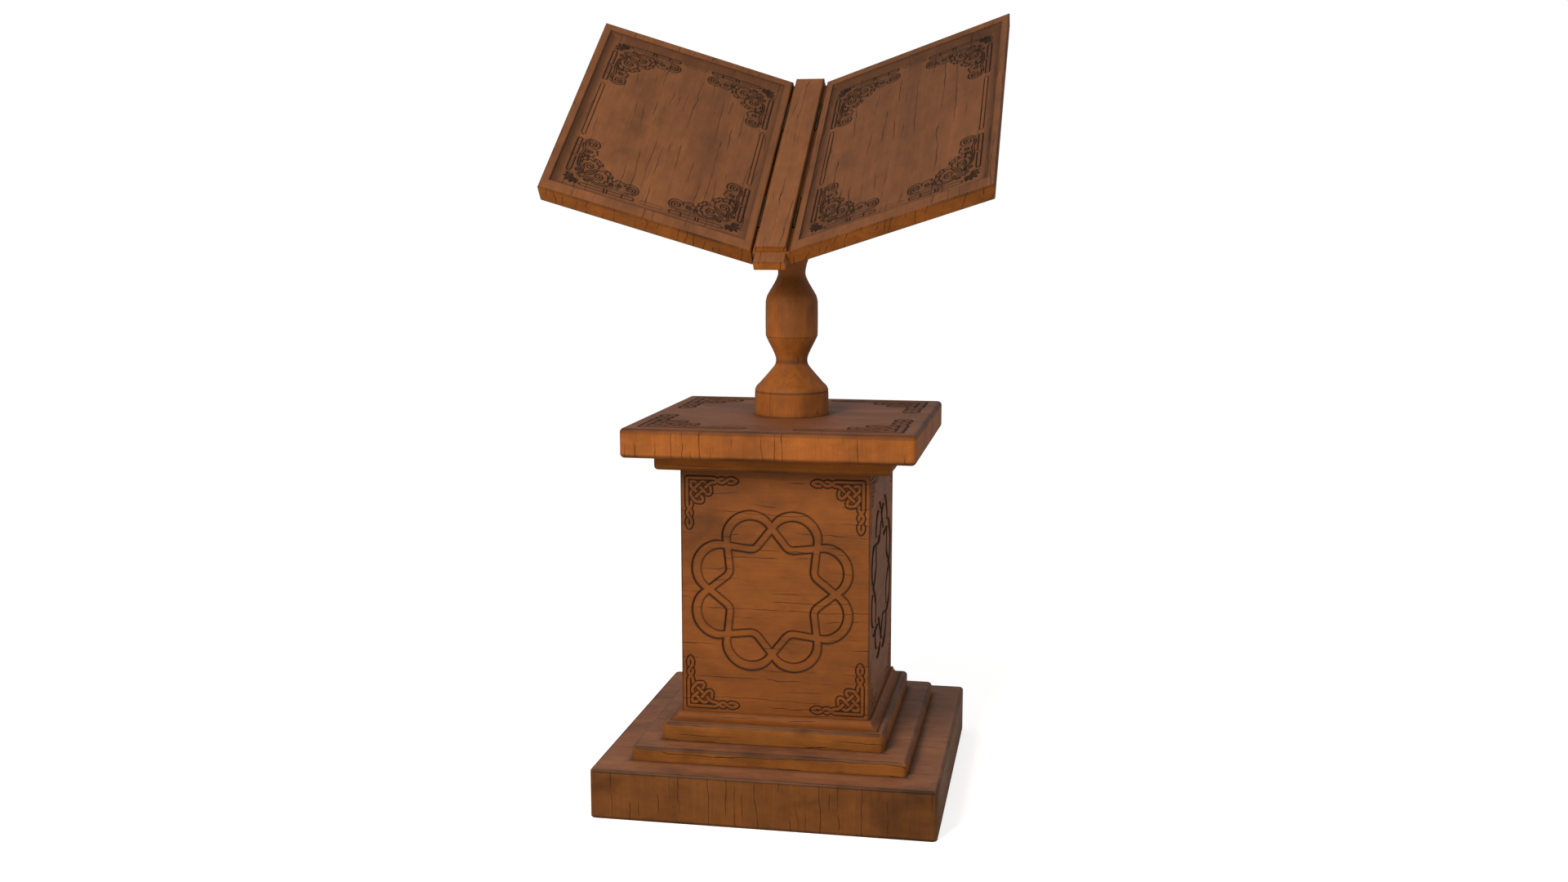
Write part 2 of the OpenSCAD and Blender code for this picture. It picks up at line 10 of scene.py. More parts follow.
import bpy
import numpy as np
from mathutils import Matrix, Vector


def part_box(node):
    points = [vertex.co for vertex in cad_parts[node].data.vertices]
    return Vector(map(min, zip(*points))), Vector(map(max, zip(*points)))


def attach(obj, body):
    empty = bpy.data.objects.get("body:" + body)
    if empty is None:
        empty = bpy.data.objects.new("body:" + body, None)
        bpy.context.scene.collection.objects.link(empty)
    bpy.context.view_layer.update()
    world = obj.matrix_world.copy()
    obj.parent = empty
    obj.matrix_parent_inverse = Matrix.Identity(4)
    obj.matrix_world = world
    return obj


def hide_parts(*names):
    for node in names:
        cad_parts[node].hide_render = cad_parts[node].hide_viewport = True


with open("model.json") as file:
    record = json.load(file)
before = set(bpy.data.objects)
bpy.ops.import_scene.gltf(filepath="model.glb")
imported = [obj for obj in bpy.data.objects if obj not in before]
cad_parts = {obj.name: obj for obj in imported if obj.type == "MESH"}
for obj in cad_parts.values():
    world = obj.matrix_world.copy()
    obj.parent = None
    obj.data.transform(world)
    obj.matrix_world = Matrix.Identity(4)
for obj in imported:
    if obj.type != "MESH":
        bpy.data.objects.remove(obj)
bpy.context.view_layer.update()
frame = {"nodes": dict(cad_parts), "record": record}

MM = 0.001

# ---- book rest frame
# x across, s up the slope, n square to the spine; the same values as the CAD
REST_TILT = math.radians(37.6)
WING_RISE = math.radians(21.7)
REST_ORIGIN = Vector((0.0, -0.1652, 0.7771))
WING_X = 26 * MM
WING_W = 294 * MM
WING_LEN = 407 * MM
WING_T = 24 * MM
FIELD_DEPTH = 6 * MM
FIELD_SIDE = 11.5 * MM
FIELD_FRONT = 20 * MM
FIELD_BACK = 15.5 * MM

X_AXIS = Vector((1, 0, 0))
S_AXIS = Vector((0, math.cos(REST_TILT), math.sin(REST_TILT)))
N_AXIS = Vector((0, -math.sin(REST_TILT), math.cos(REST_TILT)))


# ---- small helpers
EASE_TURNS = np.linspace(0, math.pi / 2, 6)
EASE_FADE = 2.2 * MM
COARSE_STEP = 60 * MM


def smooth_step(x, low, high):
    """0 below low, 1 above high, and an eased slope between."""
    t = np.clip((x - low) / (high - low), 0, 1)
    return t * t * (3 - 2 * t)


def lines(low, high, near_low, near_high, step_low, step_mid, step_high):
    """Grid lines from low to high: fine within near_low and near_high of the ends."""
    parts = []
    a, b = low + near_low, high - near_high
    for start, stop, step in ((low, a, step_low), (a, b, step_mid), (b, high, step_high)):
        if stop - start > 1e-9:
            count = max(1, int(math.ceil((stop - start) / step - 1e-6)))
            parts.append(np.linspace(start, stop, count, endpoint=False))
    return np.concatenate(parts + [[high]])


def even_lines(low, high, step):
    """Evenly spaced grid lines, no further apart than step."""
    return lines(low, high, 0, 0, step, step, step)


def with_edges(values, radius):
    """Adds the lines that an eased edge needs at both ends of a run of grid lines."""
    low, high = values[0], values[-1]
    extra = np.append(radius * (1 - np.cos(EASE_TURNS)), radius + EASE_FADE)
    inner = values[(values > low + extra[-1] + 1e-6) & (values < high - extra[-1] - 1e-6)]
    return np.concatenate([low + extra, inner, (high - extra)[::-1]])


def edge_drop(d, radius):
    """How far an eased edge has fallen at distance d inside the border."""
    d = np.clip(d, 0, radius)
    return radius - np.sqrt(np.maximum(radius**2 - (radius - d) ** 2, 0))


# ---- meshes
def add_object(name, data):
    """A new object, linked into the scene."""
    made = bpy.data.objects.new(name, data)
    bpy.context.scene.collection.objects.link(made)
    return made


def make_mesh(name, verts, loops, sizes, values, sharp_angle=None):
    """A mesh object from arrays; values maps an attribute name to one number per vertex."""
    mesh = bpy.data.meshes.new(name)
    mesh.vertices.add(len(verts))
    mesh.vertices.foreach_set("co", np.asarray(verts, np.float32).ravel())
    mesh.loops.add(len(loops))
    mesh.loops.foreach_set("vertex_index", np.asarray(loops, np.int32))
    mesh.polygons.add(len(sizes))
    starts = np.concatenate([[0], np.cumsum(sizes)[:-1]]).astype(np.int32)
    mesh.polygons.foreach_set("loop_start", starts)
    mesh.update(calc_edges=True)
    mesh.validate()
    for key, numbers in values.items():
        layer = mesh.attributes.new(key, "FLOAT", "POINT")
        layer.data.foreach_set("value", np.asarray(numbers, np.float32))
    mesh.shade_smooth()
    if sharp_angle is not None:
        mesh.set_sharp_from_angle(angle=math.radians(sharp_angle))
    return add_object(name, mesh)


def finish_piece(piece, material, body, slot, *nodes):
    """Gives a piece its material and body, and hides the CAD nodes it stands for; slot is not
    used.
    """
    piece.data.materials.append(material)
    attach(piece, body)
    if nodes:
        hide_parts(*nodes)
    return piece


def slab(name, us, vs, grids, place, side_rings, corner_radius=0.0, whole=None):
    """A closed slab: a top of grid lines us by vs, sides that drop ring by ring, a flat base.

    grids are (height, carve, wear) arrays over the top; place(u, v, h) gives positions
    (n, 3). side_rings are (inset, depth, wear) from the top border down. whole is the
    outline (u0, u1, v0, v1) of the board that this slab is a part of: sides that lie
    inside it are cuts, so they stay straight.
    """
    u, v = np.meshgrid(us, vs, indexing="ij")
    whole = whole or (us[0], us[-1], vs[0], vs[-1])
    index = np.arange(u.size).reshape(u.shape)
    quads = np.stack(
        [index[:-1, :-1], index[1:, :-1], index[1:, 1:], index[:-1, 1:]], -1
    ).reshape(-1, 4)
    border = np.concatenate(
        [index[:-1, 0], index[-1, :-1], index[:0:-1, -1], index[0, :0:-1]]
    )
    # carve is the darkness of painted shade and stains
    height, carve, wear = (grid.ravel() for grid in grids)
    columns = [[u.ravel()], [v.ravel()], [height], [carve], [wear]]
    faces = [quads]
    count = u.size
    previous = border
    for inset, depth, ring_wear in side_rings:
        ring = np.arange(count, count + len(border))
        count += len(border)
        values = (
            pull_in(u.ravel()[border], us, whole[0], whole[1], inset),
            pull_in(v.ravel()[border], vs, whole[2], whole[3], inset),
            np.full(len(border), -depth), np.zeros(len(border)),
            np.full(len(border), ring_wear),
        )
        for column, value in zip(columns, values):
            column.append(value)
        faces.append(np.stack([previous, ring, np.roll(ring, -1), np.roll(previous, -1)], -1))
        previous = ring
    u_all, v_all, h_all, carve_all, wear_all = (np.concatenate(k) for k in columns)
    if corner_radius > 0:
        u_all, v_all = round_corners(u_all, v_all, *whole, corner_radius)
    quads = np.concatenate(faces)
    loops = np.concatenate([quads.ravel(), previous[::-1]])
    sizes = np.concatenate([np.full(len(quads), 4), [len(previous)]])
    return make_mesh(name, place(u_all, v_all, h_all), loops, sizes,
                     {"carve": carve_all, "wear": wear_all}, sharp_angle=50)


def pull_in(values, grid, whole_low, whole_high, inset):
    """Moves border points inwards from the board's own sides, not from its cuts."""
    low, high = grid[0], grid[-1]
    new_low = low + (inset if abs(low - whole_low) < 1e-9 else 0)
    new_high = high - (inset if abs(high - whole_high) < 1e-9 else 0)
    return new_low + (values - low) * (new_high - new_low) / (high - low)


def quartered(name, us, vs, grids, place, side_rings, corner_radius=0.0):
    """The same slab in four pieces that meet in its middle."""
    mid_u, mid_v = (int(np.argmin(np.abs(k - (k[0] + k[-1]) / 2))) for k in (us, vs))
    whole = (us[0], us[-1], vs[0], vs[-1])
    pieces = []
    for run_u in (slice(0, mid_u + 1), slice(mid_u, None)):
        for run_v in (slice(0, mid_v + 1), slice(mid_v, None)):
            part_grids = [grid[run_u, run_v] for grid in grids]
            pieces.append(slab(f"{name}_{len(pieces) + 1}", us[run_u], vs[run_v], part_grids,
                               place, side_rings, corner_radius, whole))
    return pieces


def round_corners(u, v, u0, u1, v0, v1, radius):
    """Squeezes the four corner squares of a rectangle into quarter discs."""
    cu, cv = (u0 + u1) / 2, (v0 + v1) / 2
    du = np.abs(u - cu) - ((u1 - u0) / 2 - radius)
    dv = np.abs(v - cv) - ((v1 - v0) / 2 - radius)
    inside = (du > 0) & (dv > 0)
    size = np.where(inside, np.hypot(du, dv), 1)
    factor = np.where(inside, np.maximum(du, dv) / np.maximum(size, 1e-12), 1)
    new_u = cu + np.sign(u - cu) * ((u1 - u0) / 2 - radius + du * factor)
    new_v = cv + np.sign(v - cv) * ((v1 - v0) / 2 - radius + dv * factor)
    return np.where(inside, new_u, u), np.where(inside, new_v, v)


def rings(thickness, top_radius, bottom_radius):
    """Side rings of a slab with eased top and bottom edges."""
    out = [(0, top_radius + EASE_FADE, 0.0), (0, thickness - bottom_radius - EASE_FADE, 0.0)]
    for turn in EASE_TURNS:
        inset = bottom_radius * (1 - math.cos(turn))
        depth = thickness - bottom_radius * (1 - math.sin(turn))
        out.append((inset, depth, math.sin(2 * turn)))
    out.append((bottom_radius + EASE_FADE, thickness, 0.0))
    return out


def border_distance(u, v, us, vs):
    """Distance from the nearest side of a rectangle."""
    return np.minimum(np.minimum(u - us[0], us[-1] - u), np.minimum(v - vs[0], vs[-1] - v))


def eased(u, v, us, vs, radius):
    """Height and wear of a flat top whose border is eased."""
    d = border_distance(u, v, us, vs)
    return -edge_drop(d, radius), np.exp(-((d / radius - 0.3) / 0.4) ** 2)


def plain_block(name, size_u, size_v, thickness, radius, bottom_radius, place,
                corner_radius=0.0):
    """A board with no carving: only eased edges."""
    us, vs = (with_edges(even_lines(-size / 2, size / 2, COARSE_STEP), radius)
              for size in (size_u, size_v))
    u, v = np.meshgrid(us, vs, indexing="ij")
    height, wear = eased(u, v, us, vs, radius)
    return slab(name, us, vs, (height, np.zeros_like(height), wear), place,
                rings(thickness, radius, bottom_radius), corner_radius)


def upright(centre, top_z):
    """Places a slab flat: u to +X, v to +Y, height to +Z."""
    def place(u, v, h):
        return np.stack([centre[0] + u, centre[1] + v, top_z + h], -1)
    return place


# ---- carved outlines
# all in millimetres, measured from the ornament's own centre or outer corner
def polar(cx, cy, r, a):
    """Points at distance r and angle a (radians) from a centre."""
    return np.stack([cx + r * np.cos(a), cy + r * np.sin(a)], -1)


def arc(cx, cy, radius, start, stop, count):
    """Points along a circle's arc; angles in degrees."""
    return polar(cx, cy, radius, np.radians(np.linspace(start, stop, count)))


def spiral(cx, cy, outer, inner, start, turns, count):
    """Points along a spiral that winds inwards."""
    t = np.linspace(0, 1, count)
    a = math.radians(start) + 2 * math.pi * turns * t
    return polar(cx, cy, outer + (inner - outer) * t**0.8, a)


def scallop(cx, cy, radius, bump, lobes, start, stop, count):
    """Points along a lobed leaf edge."""
    t = np.linspace(0, 1, count)
    a = np.radians(start + (stop - start) * t)
    return polar(cx, cy, radius + bump * np.abs(np.sin(math.pi * lobes * t)), a)


def curve(points, closed=False, steps=8):
    """Smooth curve (Catmull-Rom) through a few points."""
    p = np.asarray(points, float)
    n = len(p)
    out = []
    t = np.linspace(0, 1, steps, endpoint=False)[:, None]
    for i in range(n if closed else n - 1):
        if closed:
            a, b, c, d = p[i - 1], p[i], p[(i + 1) % n], p[(i + 2) % n]
        else:
            a, b, c, d = p[max(i - 1, 0)], p[i], p[i + 1], p[min(i + 2, n - 1)]
        out.append(0.5 * (2 * b + (c - a) * t + (2 * a - 5 * b + 4 * c - d) * t**2
                          + (3 * b - a - 3 * c + d) * t**3))
    out.append(p[:1] if closed else p[-1:])
    return np.concatenate(out)


def turned(points, degrees):
    """Points turned anticlockwise about the origin."""
    c, s = math.cos(math.radians(degrees)), math.sin(math.radians(degrees))
    return points @ np.array([[c, s], [-s, c]])


def distance(x, y, paths, reach):
    """Distance from each point to the nearest of some paths, no further than reach."""
    flat_x, flat_y = x.ravel(), y.ravel()
    best = np.full(flat_x.shape, reach)
    for path in paths:
        low, high = path.min(0) - reach, path.max(0) + reach
        near = np.nonzero((flat_x > low[0]) & (flat_x < high[0])
                          & (flat_y > low[1]) & (flat_y < high[1]))[0]
        if not len(near):
            continue
        px, py, found = flat_x[near], flat_y[near], best[near]
        for (ax, ay), (bx, by) in zip(path[:-1], path[1:]):
            dx, dy = bx - ax, by - ay
            length = dx * dx + dy * dy + 1e-12
            t = np.clip(((px - ax) * dx + (py - ay) * dy) / length, 0, 1)
            found = np.minimum(found, np.hypot(px - ax - t * dx, py - ay - t * dy))
        best[near] = found
    return best.reshape(x.shape)


def rosette_paths():
    """Centre lines of the eight-lobed medallion, in mm round its centre.

    Two four-lobed bands cross: each lobe is an arc, and straight runs join it to the
    rounded inner corners between lobes.
    """
    lobe_centre, lobe_radius, lobe_half_angle = 79.5, 34.0, 73.4
    corner_reach = 64.0
    lobe = arc(lobe_centre, 0, lobe_radius, -lobe_half_angle, lobe_half_angle, 28)
    tip = corner_reach * math.cos(math.radians(45))
    bend = curve([(tip + 6, tip - 1.9), (tip + 1.2, tip + 1.2), (tip - 1.9, tip + 6)], steps=4)
    half_bend = bend[:5]
    side = np.concatenate([lobe, half_bend])
    mirrored = np.concatenate([half_bend[::-1] * (1, -1), lobe])
    return [turned(path, 22.5 + 45 * k) for k in range(8) for path in (side, mirrored)]


def chain(start, turn, turns, middle, swing, tip):
    """The two strands of a twisted chain and their closed end; the first starts high."""
    a = np.linspace(start, start + turns * turn, 12 * turns + 1)
    wave = swing * np.cos((a - start) * math.pi / turn)
    first = np.stack([a, middle + wave], -1)
    second = np.stack([a, middle - wave], -1)
    end, top = a[-1], first[-1, 1] > middle
    side = swing if top else -swing
    cap = curve([(end, middle + side), (end + 0.45 * (tip - end), middle + 0.95 * side),
                 (tip, middle), (end + 0.45 * (tip - end), middle - 0.95 * side),
                 (end, middle - side)], steps=5)
    return first, second, cap


def knot_strands():
    """Closed centre lines of a corner knot: the long strand and the looped one.

    The long strand runs along the outer edges, turns back at the ends of both twisted
    chains, and crosses the corner on the diagonal. The looped one weaves through it.
    """
    low, middle, swing = 2.3, 5.4, 3.1
    first, second, cap = chain(40, 12, 2, middle, swing, 73)
    arm = np.concatenate([second, cap[::-1][1:-1], first[::-1]])
    diagonal = curve([(40, 8.5), (36.5, 8.9), (33, 11.2), (29, 15.2), (22.2, 22.2)], steps=6)
    half = np.concatenate([np.array([(low, low), (20, low)]), arm, diagonal[1:]])
    long_strand = np.concatenate([half, half[::-1, ::-1][1:]])
    turn_half = [
        (15, 15), (9.6, 20.4), (7.8, 23.4), (7.9, 27.2), (11.5, 32.5), (14.2, 35.2),
        (18, 36.2), (22.6, 36.1), (24.7, 34), (24.7, 30.8), (22.6, 28.2), (18.75, 24.9),
        (11.75, 18), (8.4, 14.8), (7.6, 12), (7.7, 8.6),
    ]
    looped = curve(turn_half + [(b, a) for a, b in turn_half[:0:-1]], closed=True, steps=5)
    return [long_strand, looped]


def crossings(strands):
    """Where closed strands cross: (strand, place along it, point)."""
    found = []
    for i, path in enumerate(strands):
        for j, other in enumerate(strands):
            p, r = path[:-1, None], (path[1:] - path[:-1])[:, None]
            q, s = other[None, :-1], (other[1:] - other[:-1])[None]
            denominator = r[..., 0] * s[..., 1] - r[..., 1] * s[..., 0]
            denominator[np.abs(denominator) < 1e-9] = np.inf
            gap = q - p
            t = (gap[..., 0] * s[..., 1] - gap[..., 1] * s[..., 0]) / denominator
            w = (gap[..., 0] * r[..., 1] - gap[..., 1] * r[..., 0]) / denominator
            hit = (t > 0) & (t < 1) & (w > 0) & (w < 1)
            for a, b in zip(*np.nonzero(hit)):
                if i != j or abs(a - b) > 2:
                    point = path[a] + t[a, b] * (path[a + 1] - path[a])
                    found.append((i, a + t[a, b], point))
    return found


# half the length of a strand where it passes over another, in mm
OVER_REACH = 4.4


def weave():
    """The corner knot as closed strands, the parts that pass over, and its crossings."""
    strands = knot_strands()
    found = crossings(strands)
    over = []
    points = []
    for i, path in enumerate(strands):
        own = sorted((place, tuple(point)) for k, place, point in found if k == i)
        step = np.r_[0, np.cumsum(np.hypot(*np.diff(path, axis=0).T))]
        for k, (place, point) in enumerate(own):
            points.append(point)
            if (k + i) % 2 == 0:
                at = np.interp(place, np.arange(len(path)), step)
                run = np.linspace(at - OVER_REACH, at + OVER_REACH, 9)
                over.append(np.stack([np.interp(run, step, path[:, c]) for c in (0, 1)], -1))
    return strands, over, points


def leaf(x, y, length, width, angle):
    """A pointed leaf that grows from (x, y), and its vein; the angle is in degrees."""
    t = np.linspace(0, 1, 9)
    side = width / 2 * np.sin(math.pi * t**0.75)
    outline = np.concatenate([np.stack([t * length, side], -1),
                              np.stack([t * length, -side], -1)[::-1]])
    vein = np.array([(0.2 * length, 0), (0.72 * length, 0)])
    return [turned(path, angle) + (x, y) for path in (outline, vein)]


def ribbon(points, width):
    """The two outlines of a curved stem, each half the width from its middle line."""
    middle = curve(points)
    along = np.gradient(middle, axis=0)
    along /= np.linalg.norm(along, axis=1)[:, None]
    across = np.stack([-along[:, 1], along[:, 0]], -1) * width / 2
    return [middle + across, middle - across]


def scroll_paths():
    """Lines of the leafy corner scroll, in mm from its outer corner."""
    half = [
        # double bar along the edge, with joints and a turned end
        np.array([(29, 2), (98, 2)], float),
        np.array([(33, 8), (58, 8)], float),
        np.array([(65, 8), (98, 8)], float),
        np.array([(59.5, 0.5), (59.5, 9)], float),
        np.array([(63.5, 0.5), (63.5, 9)], float),
        np.array([(84, 0.8), (84, 9)], float),
        arc(98, 5.0, 3.0, -90, 90, 10),
        curve([(29, 2), (25, 4), (27, 7), (33, 8)]),
        # end scroll with its rim, and the lobed leaf before it
        spiral(93, 23.0, 8.6, 1.5, -90, 1.7, 60),
        arc(93, 23.0, 11.2, -70, 125, 24),
        scallop(76, 25.5, 8.2, 1.7, 3, 5, 205, 60),
        spiral(76, 24.5, 4.6, 0.9, 200, 1.3, 30),
        # one of the two large scrolls, and the lobes round it
        spiral(46, 30, 8.6, 1.6, 215, 1.7, 60),
        scallop(46, 30, 12.4, 2.0, 4, -70, 88, 60),
        scallop(46, 30, 18.2, 2.6, 4, -48, 68, 70),
        curve([(57.0, 25.0), (60.0, 24.0), (62.5, 24.5)]),
        curve([(58.5, 33.0), (61.5, 34.0), (63.5, 36.0)]),
        curve([(52.5, 42.0), (54.5, 44.0), (55.5, 46.5)]),
        # curls between the large scroll and the bar
        spiral(33, 16.5, 4.2, 0.9, 150, 1.3, 24),
        spiral(66.5, 20.5, 4.2, 0.9, 60, 1.3, 24),
    ]
    half += ribbon([(22, 19), (29, 23), (36, 22), (42, 16), (52, 14), (64, 13.5), (76, 15),
                    (86, 13), (93, 13.0)], 2.9)
    half += leaf(27, 27, 24, 7.5, 45)
    for angle, length in ((225, 14), (252, 12.5), (280, 10.5)):
        x, y = turned(np.array((4.0, 0.0)), angle) + 17.5
        half += leaf(x, y, length, 5.4, angle)
    scroll = []
    for path in half:
        scroll += [path, path[:, ::-1]]
    return scroll


def scroll_mass(a, b):
    """1 where the stained ground of a corner scroll lies, fading out round it."""
    near = np.full(a.shape, 99.0)
    for x, y, radius in ((46, 30, 19.5), (38, 38, 17), (93, 23, 10.5), (76, 25, 8.5),
                         (14, 14, 12), (66, 20, 6), (57, 20, 8), (33, 18, 8)):
        for cx, cy in ((x, y), (y, x)):
            near = np.minimum(near, np.hypot(a - cx, b - cy) - radius)
    for p, q in ((a, b), (b, a)):
        beyond = np.maximum(np.maximum(18 - p, p - 100), 0)
        near = np.minimum(near, np.hypot(beyond, np.maximum(np.abs(q - 6) - 5, 0)))
    return 1 - smooth_step(near, -0.5, 1.6)


def groove(d, half_width, depth, soft):
    """Depth of a narrow cut at distance d from its line, and the painted shade in it."""
    cut = 1 - smooth_step(d, half_width - soft, half_width + soft)
    return depth * cut, cut


# width in mm of the painted shade line on a band's walls
EDGE_LINE = 1.35


def band_edges(d, half_width, wall, depth):
    """A flat-bottomed band sunk along a line: depth, and the painted shade on its walls."""
    sunk = 1 - smooth_step(d, half_width - wall, half_width + wall)
    outline = np.exp(-(((d - half_width) / EDGE_LINE) ** 2))
    return depth * sunk, outline


# ---- materials
def shader(name):
    """A new material, its node tree and its Principled node."""
    material = bpy.data.materials.new(name)
    material.use_nodes = True
    tree = material.node_tree
    return material, tree, tree.nodes["Principled BSDF"]


def fill(tree, made, inputs):
    """Links or sets a node's inputs, given by name or number."""
    for key, value in inputs.items():
        socket = made.inputs[key]
        if isinstance(value, bpy.types.NodeSocket):
            tree.links.new(value, socket)
        else:
            socket.default_value = value


def node(tree, kind, inputs=None, **settings):
    """Adds a node with its settings and inputs."""
    made = tree.nodes.new(kind)
    for key, value in settings.items():
        setattr(made, key, value)
    fill(tree, made, inputs or {})
    return made


def maths(tree, operation, a, b=0.5, clamp=False):
    """One Math node's output."""
    made = node(tree, "ShaderNodeMath", {0: a, 1: b}, operation=operation, use_clamp=clamp)
    return made.outputs[0]


def times(tree, a, b):
    """The product of two values."""
    return maths(tree, "MULTIPLY", a, b)


def remap(tree, value, low, high, to_low=0.0, to_high=1.0):
    """Map Range with clamping."""
    made = node(tree, "ShaderNodeMapRange", {0: value, 1: low, 2: high, 3: to_low, 4: to_high})
    made.clamp = True
    return made.outputs[0]


def mix_colour(tree, factor, a, b):
    """Mix node for colours."""
    made = node(tree, "ShaderNodeMix", {0: factor, 6: (*a, 1), 7: (*b, 1)}, data_type="RGBA")
    return made.outputs[2]


def stretched_noise(tree, vector, scale, detail=3.0, rough=0.55, warp=0.0):
    """Noise whose cells are scale = (along, across, across) per metre."""
    scaled = node(tree, "ShaderNodeVectorMath", {0: vector, 1: scale}, operation="MULTIPLY")
    made = node(tree, "ShaderNodeTexNoise",
                {"Vector": scaled.outputs[0], "Scale": 1.0, "Detail": detail,
                 "Roughness": rough, "Distortion": warp})
    return made.outputs[0]


def coordinates(tree, kind="Object"):
    """The x, y and z of the object's own coordinates, or of another kind."""
    vector = node(tree, "ShaderNodeTexCoord").outputs[kind]
    return node(tree, "ShaderNodeSeparateXYZ", {0: vector}).outputs


def add_bump(tree, principled, height, strength, distance):
    """Gives a shader a bump; the distance is in metres."""
    bump = node(tree, "ShaderNodeBump",
                {"Strength": strength, "Distance": distance, "Height": height})
    tree.links.new(bump.outputs[0], principled.inputs["Normal"])


def grain_vector(tree, turn, seed):
    """Object coordinates turned so that the grain runs along X."""
    place = node(tree, "ShaderNodeTexCoord").outputs["Object"]
    mapped = node(tree, "ShaderNodeMapping",
                  {"Vector": place, "Rotation": turn,
                   "Location": (seed * 0.731, seed * 0.377, seed * 0.519)})
    return mapped.outputs[0]


GRAIN_X = (0, 0, 0)
GRAIN_Y = (0, 0, math.radians(-90))
GRAIN_Z = (0, math.radians(90), 0)
GRAIN_SPINE = (-REST_TILT, 0, math.radians(-90))
GRAIN_TURNED = (math.radians(2), math.radians(87), math.radians(3))

CRACKS_PER_METRE = 72.0
CRACK_WANDER = 20 * MM
# where a crack's dark middle ends and sound wood starts, in cells of the crack pattern
CRACK_LINE = (0.012, 0.048)
# tone of checks, worn edges, and the carve darkness (painted shade in cuts, coves and round
# feet, with stains) against clean wood
CRACK_TONE, WEAR_TONE, SHADE_STAIN_TONE = 0.20, 0.26, 0.13
# strength of the painted shade round a foot, against the full darkness of a carved cut
PAINTED_FOOT_SHADE = 0.75
# upright faces are duller and have more checks; the normal's z tells them from level ones
UPRIGHT_SHINE = 0.14
UPRIGHT_CRACKS = 0.08
LEVEL_NORMAL = (0.40, 0.68)


def grain_figure(tree, vector, cracks, lean):
    """Tone, fibre and crack masks of timber whose grain runs along the vector's X."""
    streak = stretched_noise(tree, vector, (1.8, 24, 24), 4, 0.6, 0.4)
    fibre = stretched_noise(tree, vector, (12, 380, 380), 3, 0.6)
    split = node(tree, "ShaderNodeSeparateXYZ", {0: vector})
    across = maths(tree, "ADD", split.outputs[1], times(tree, split.outputs[2], lean))
    wander = stretched_noise(tree, vector, (9, 26, 26), 3, 0.6)
    shift = times(tree, maths(tree, "SUBTRACT", wander, 0.5), CRACK_WANDER)
    seam = node(tree, "ShaderNodeTexVoronoi",
                {"W": maths(tree, "ADD", across, shift), "Scale": CRACKS_PER_METRE},
                voronoi_dimensions="1D", feature="DISTANCE_TO_EDGE")
    line = remap(tree, seam.outputs["Distance"], *CRACK_LINE, 1.0, 0.0)
    where = stretched_noise(tree, vector, (13, 62, 62), 2, 0.5)
    crack = times(tree, line, remap(tree, where, 0.58 - cracks, 0.65 - cracks))
    return streak, fibre, crack


def box_edges(tree, half, low, high):
    """Wear along every edge of an upright square block, from its own coordinates."""
    place = coordinates(tree)
    x, y = (maths(tree, "SUBTRACT", half, maths(tree, "ABSOLUTE", place[k])) for k in (0, 1))
    z = maths(tree, "MINIMUM", maths(tree, "SUBTRACT", high, place[2]),
              maths(tree, "SUBTRACT", place[2], low))
    total = maths(tree, "ADD", maths(tree, "ADD", x, y), z)
    largest = maths(tree, "MAXIMUM", maths(tree, "MAXIMUM", x, y), z)
    near = maths(tree, "SUBTRACT", total, largest)
    return remap(tree, near, 3.2 * MM, 5.0 * MM, 1.0, 0.0)


def foot_shade(tree, half, reach, level):
    """Painted shade on a level top, round the foot of the square block above it."""
    place = coordinates(tree)
    out = maths(tree, "MAXIMUM", maths(tree, "ABSOLUTE", place[0]),
                maths(tree, "ABSOLUTE", place[1]))
    near = remap(tree, out, half, half + reach, 1.0, 0.0)
    above = remap(tree, place[2], level - 1.5 * MM, level - 0.5 * MM)
    return times(tree, times(tree, near, near), above)


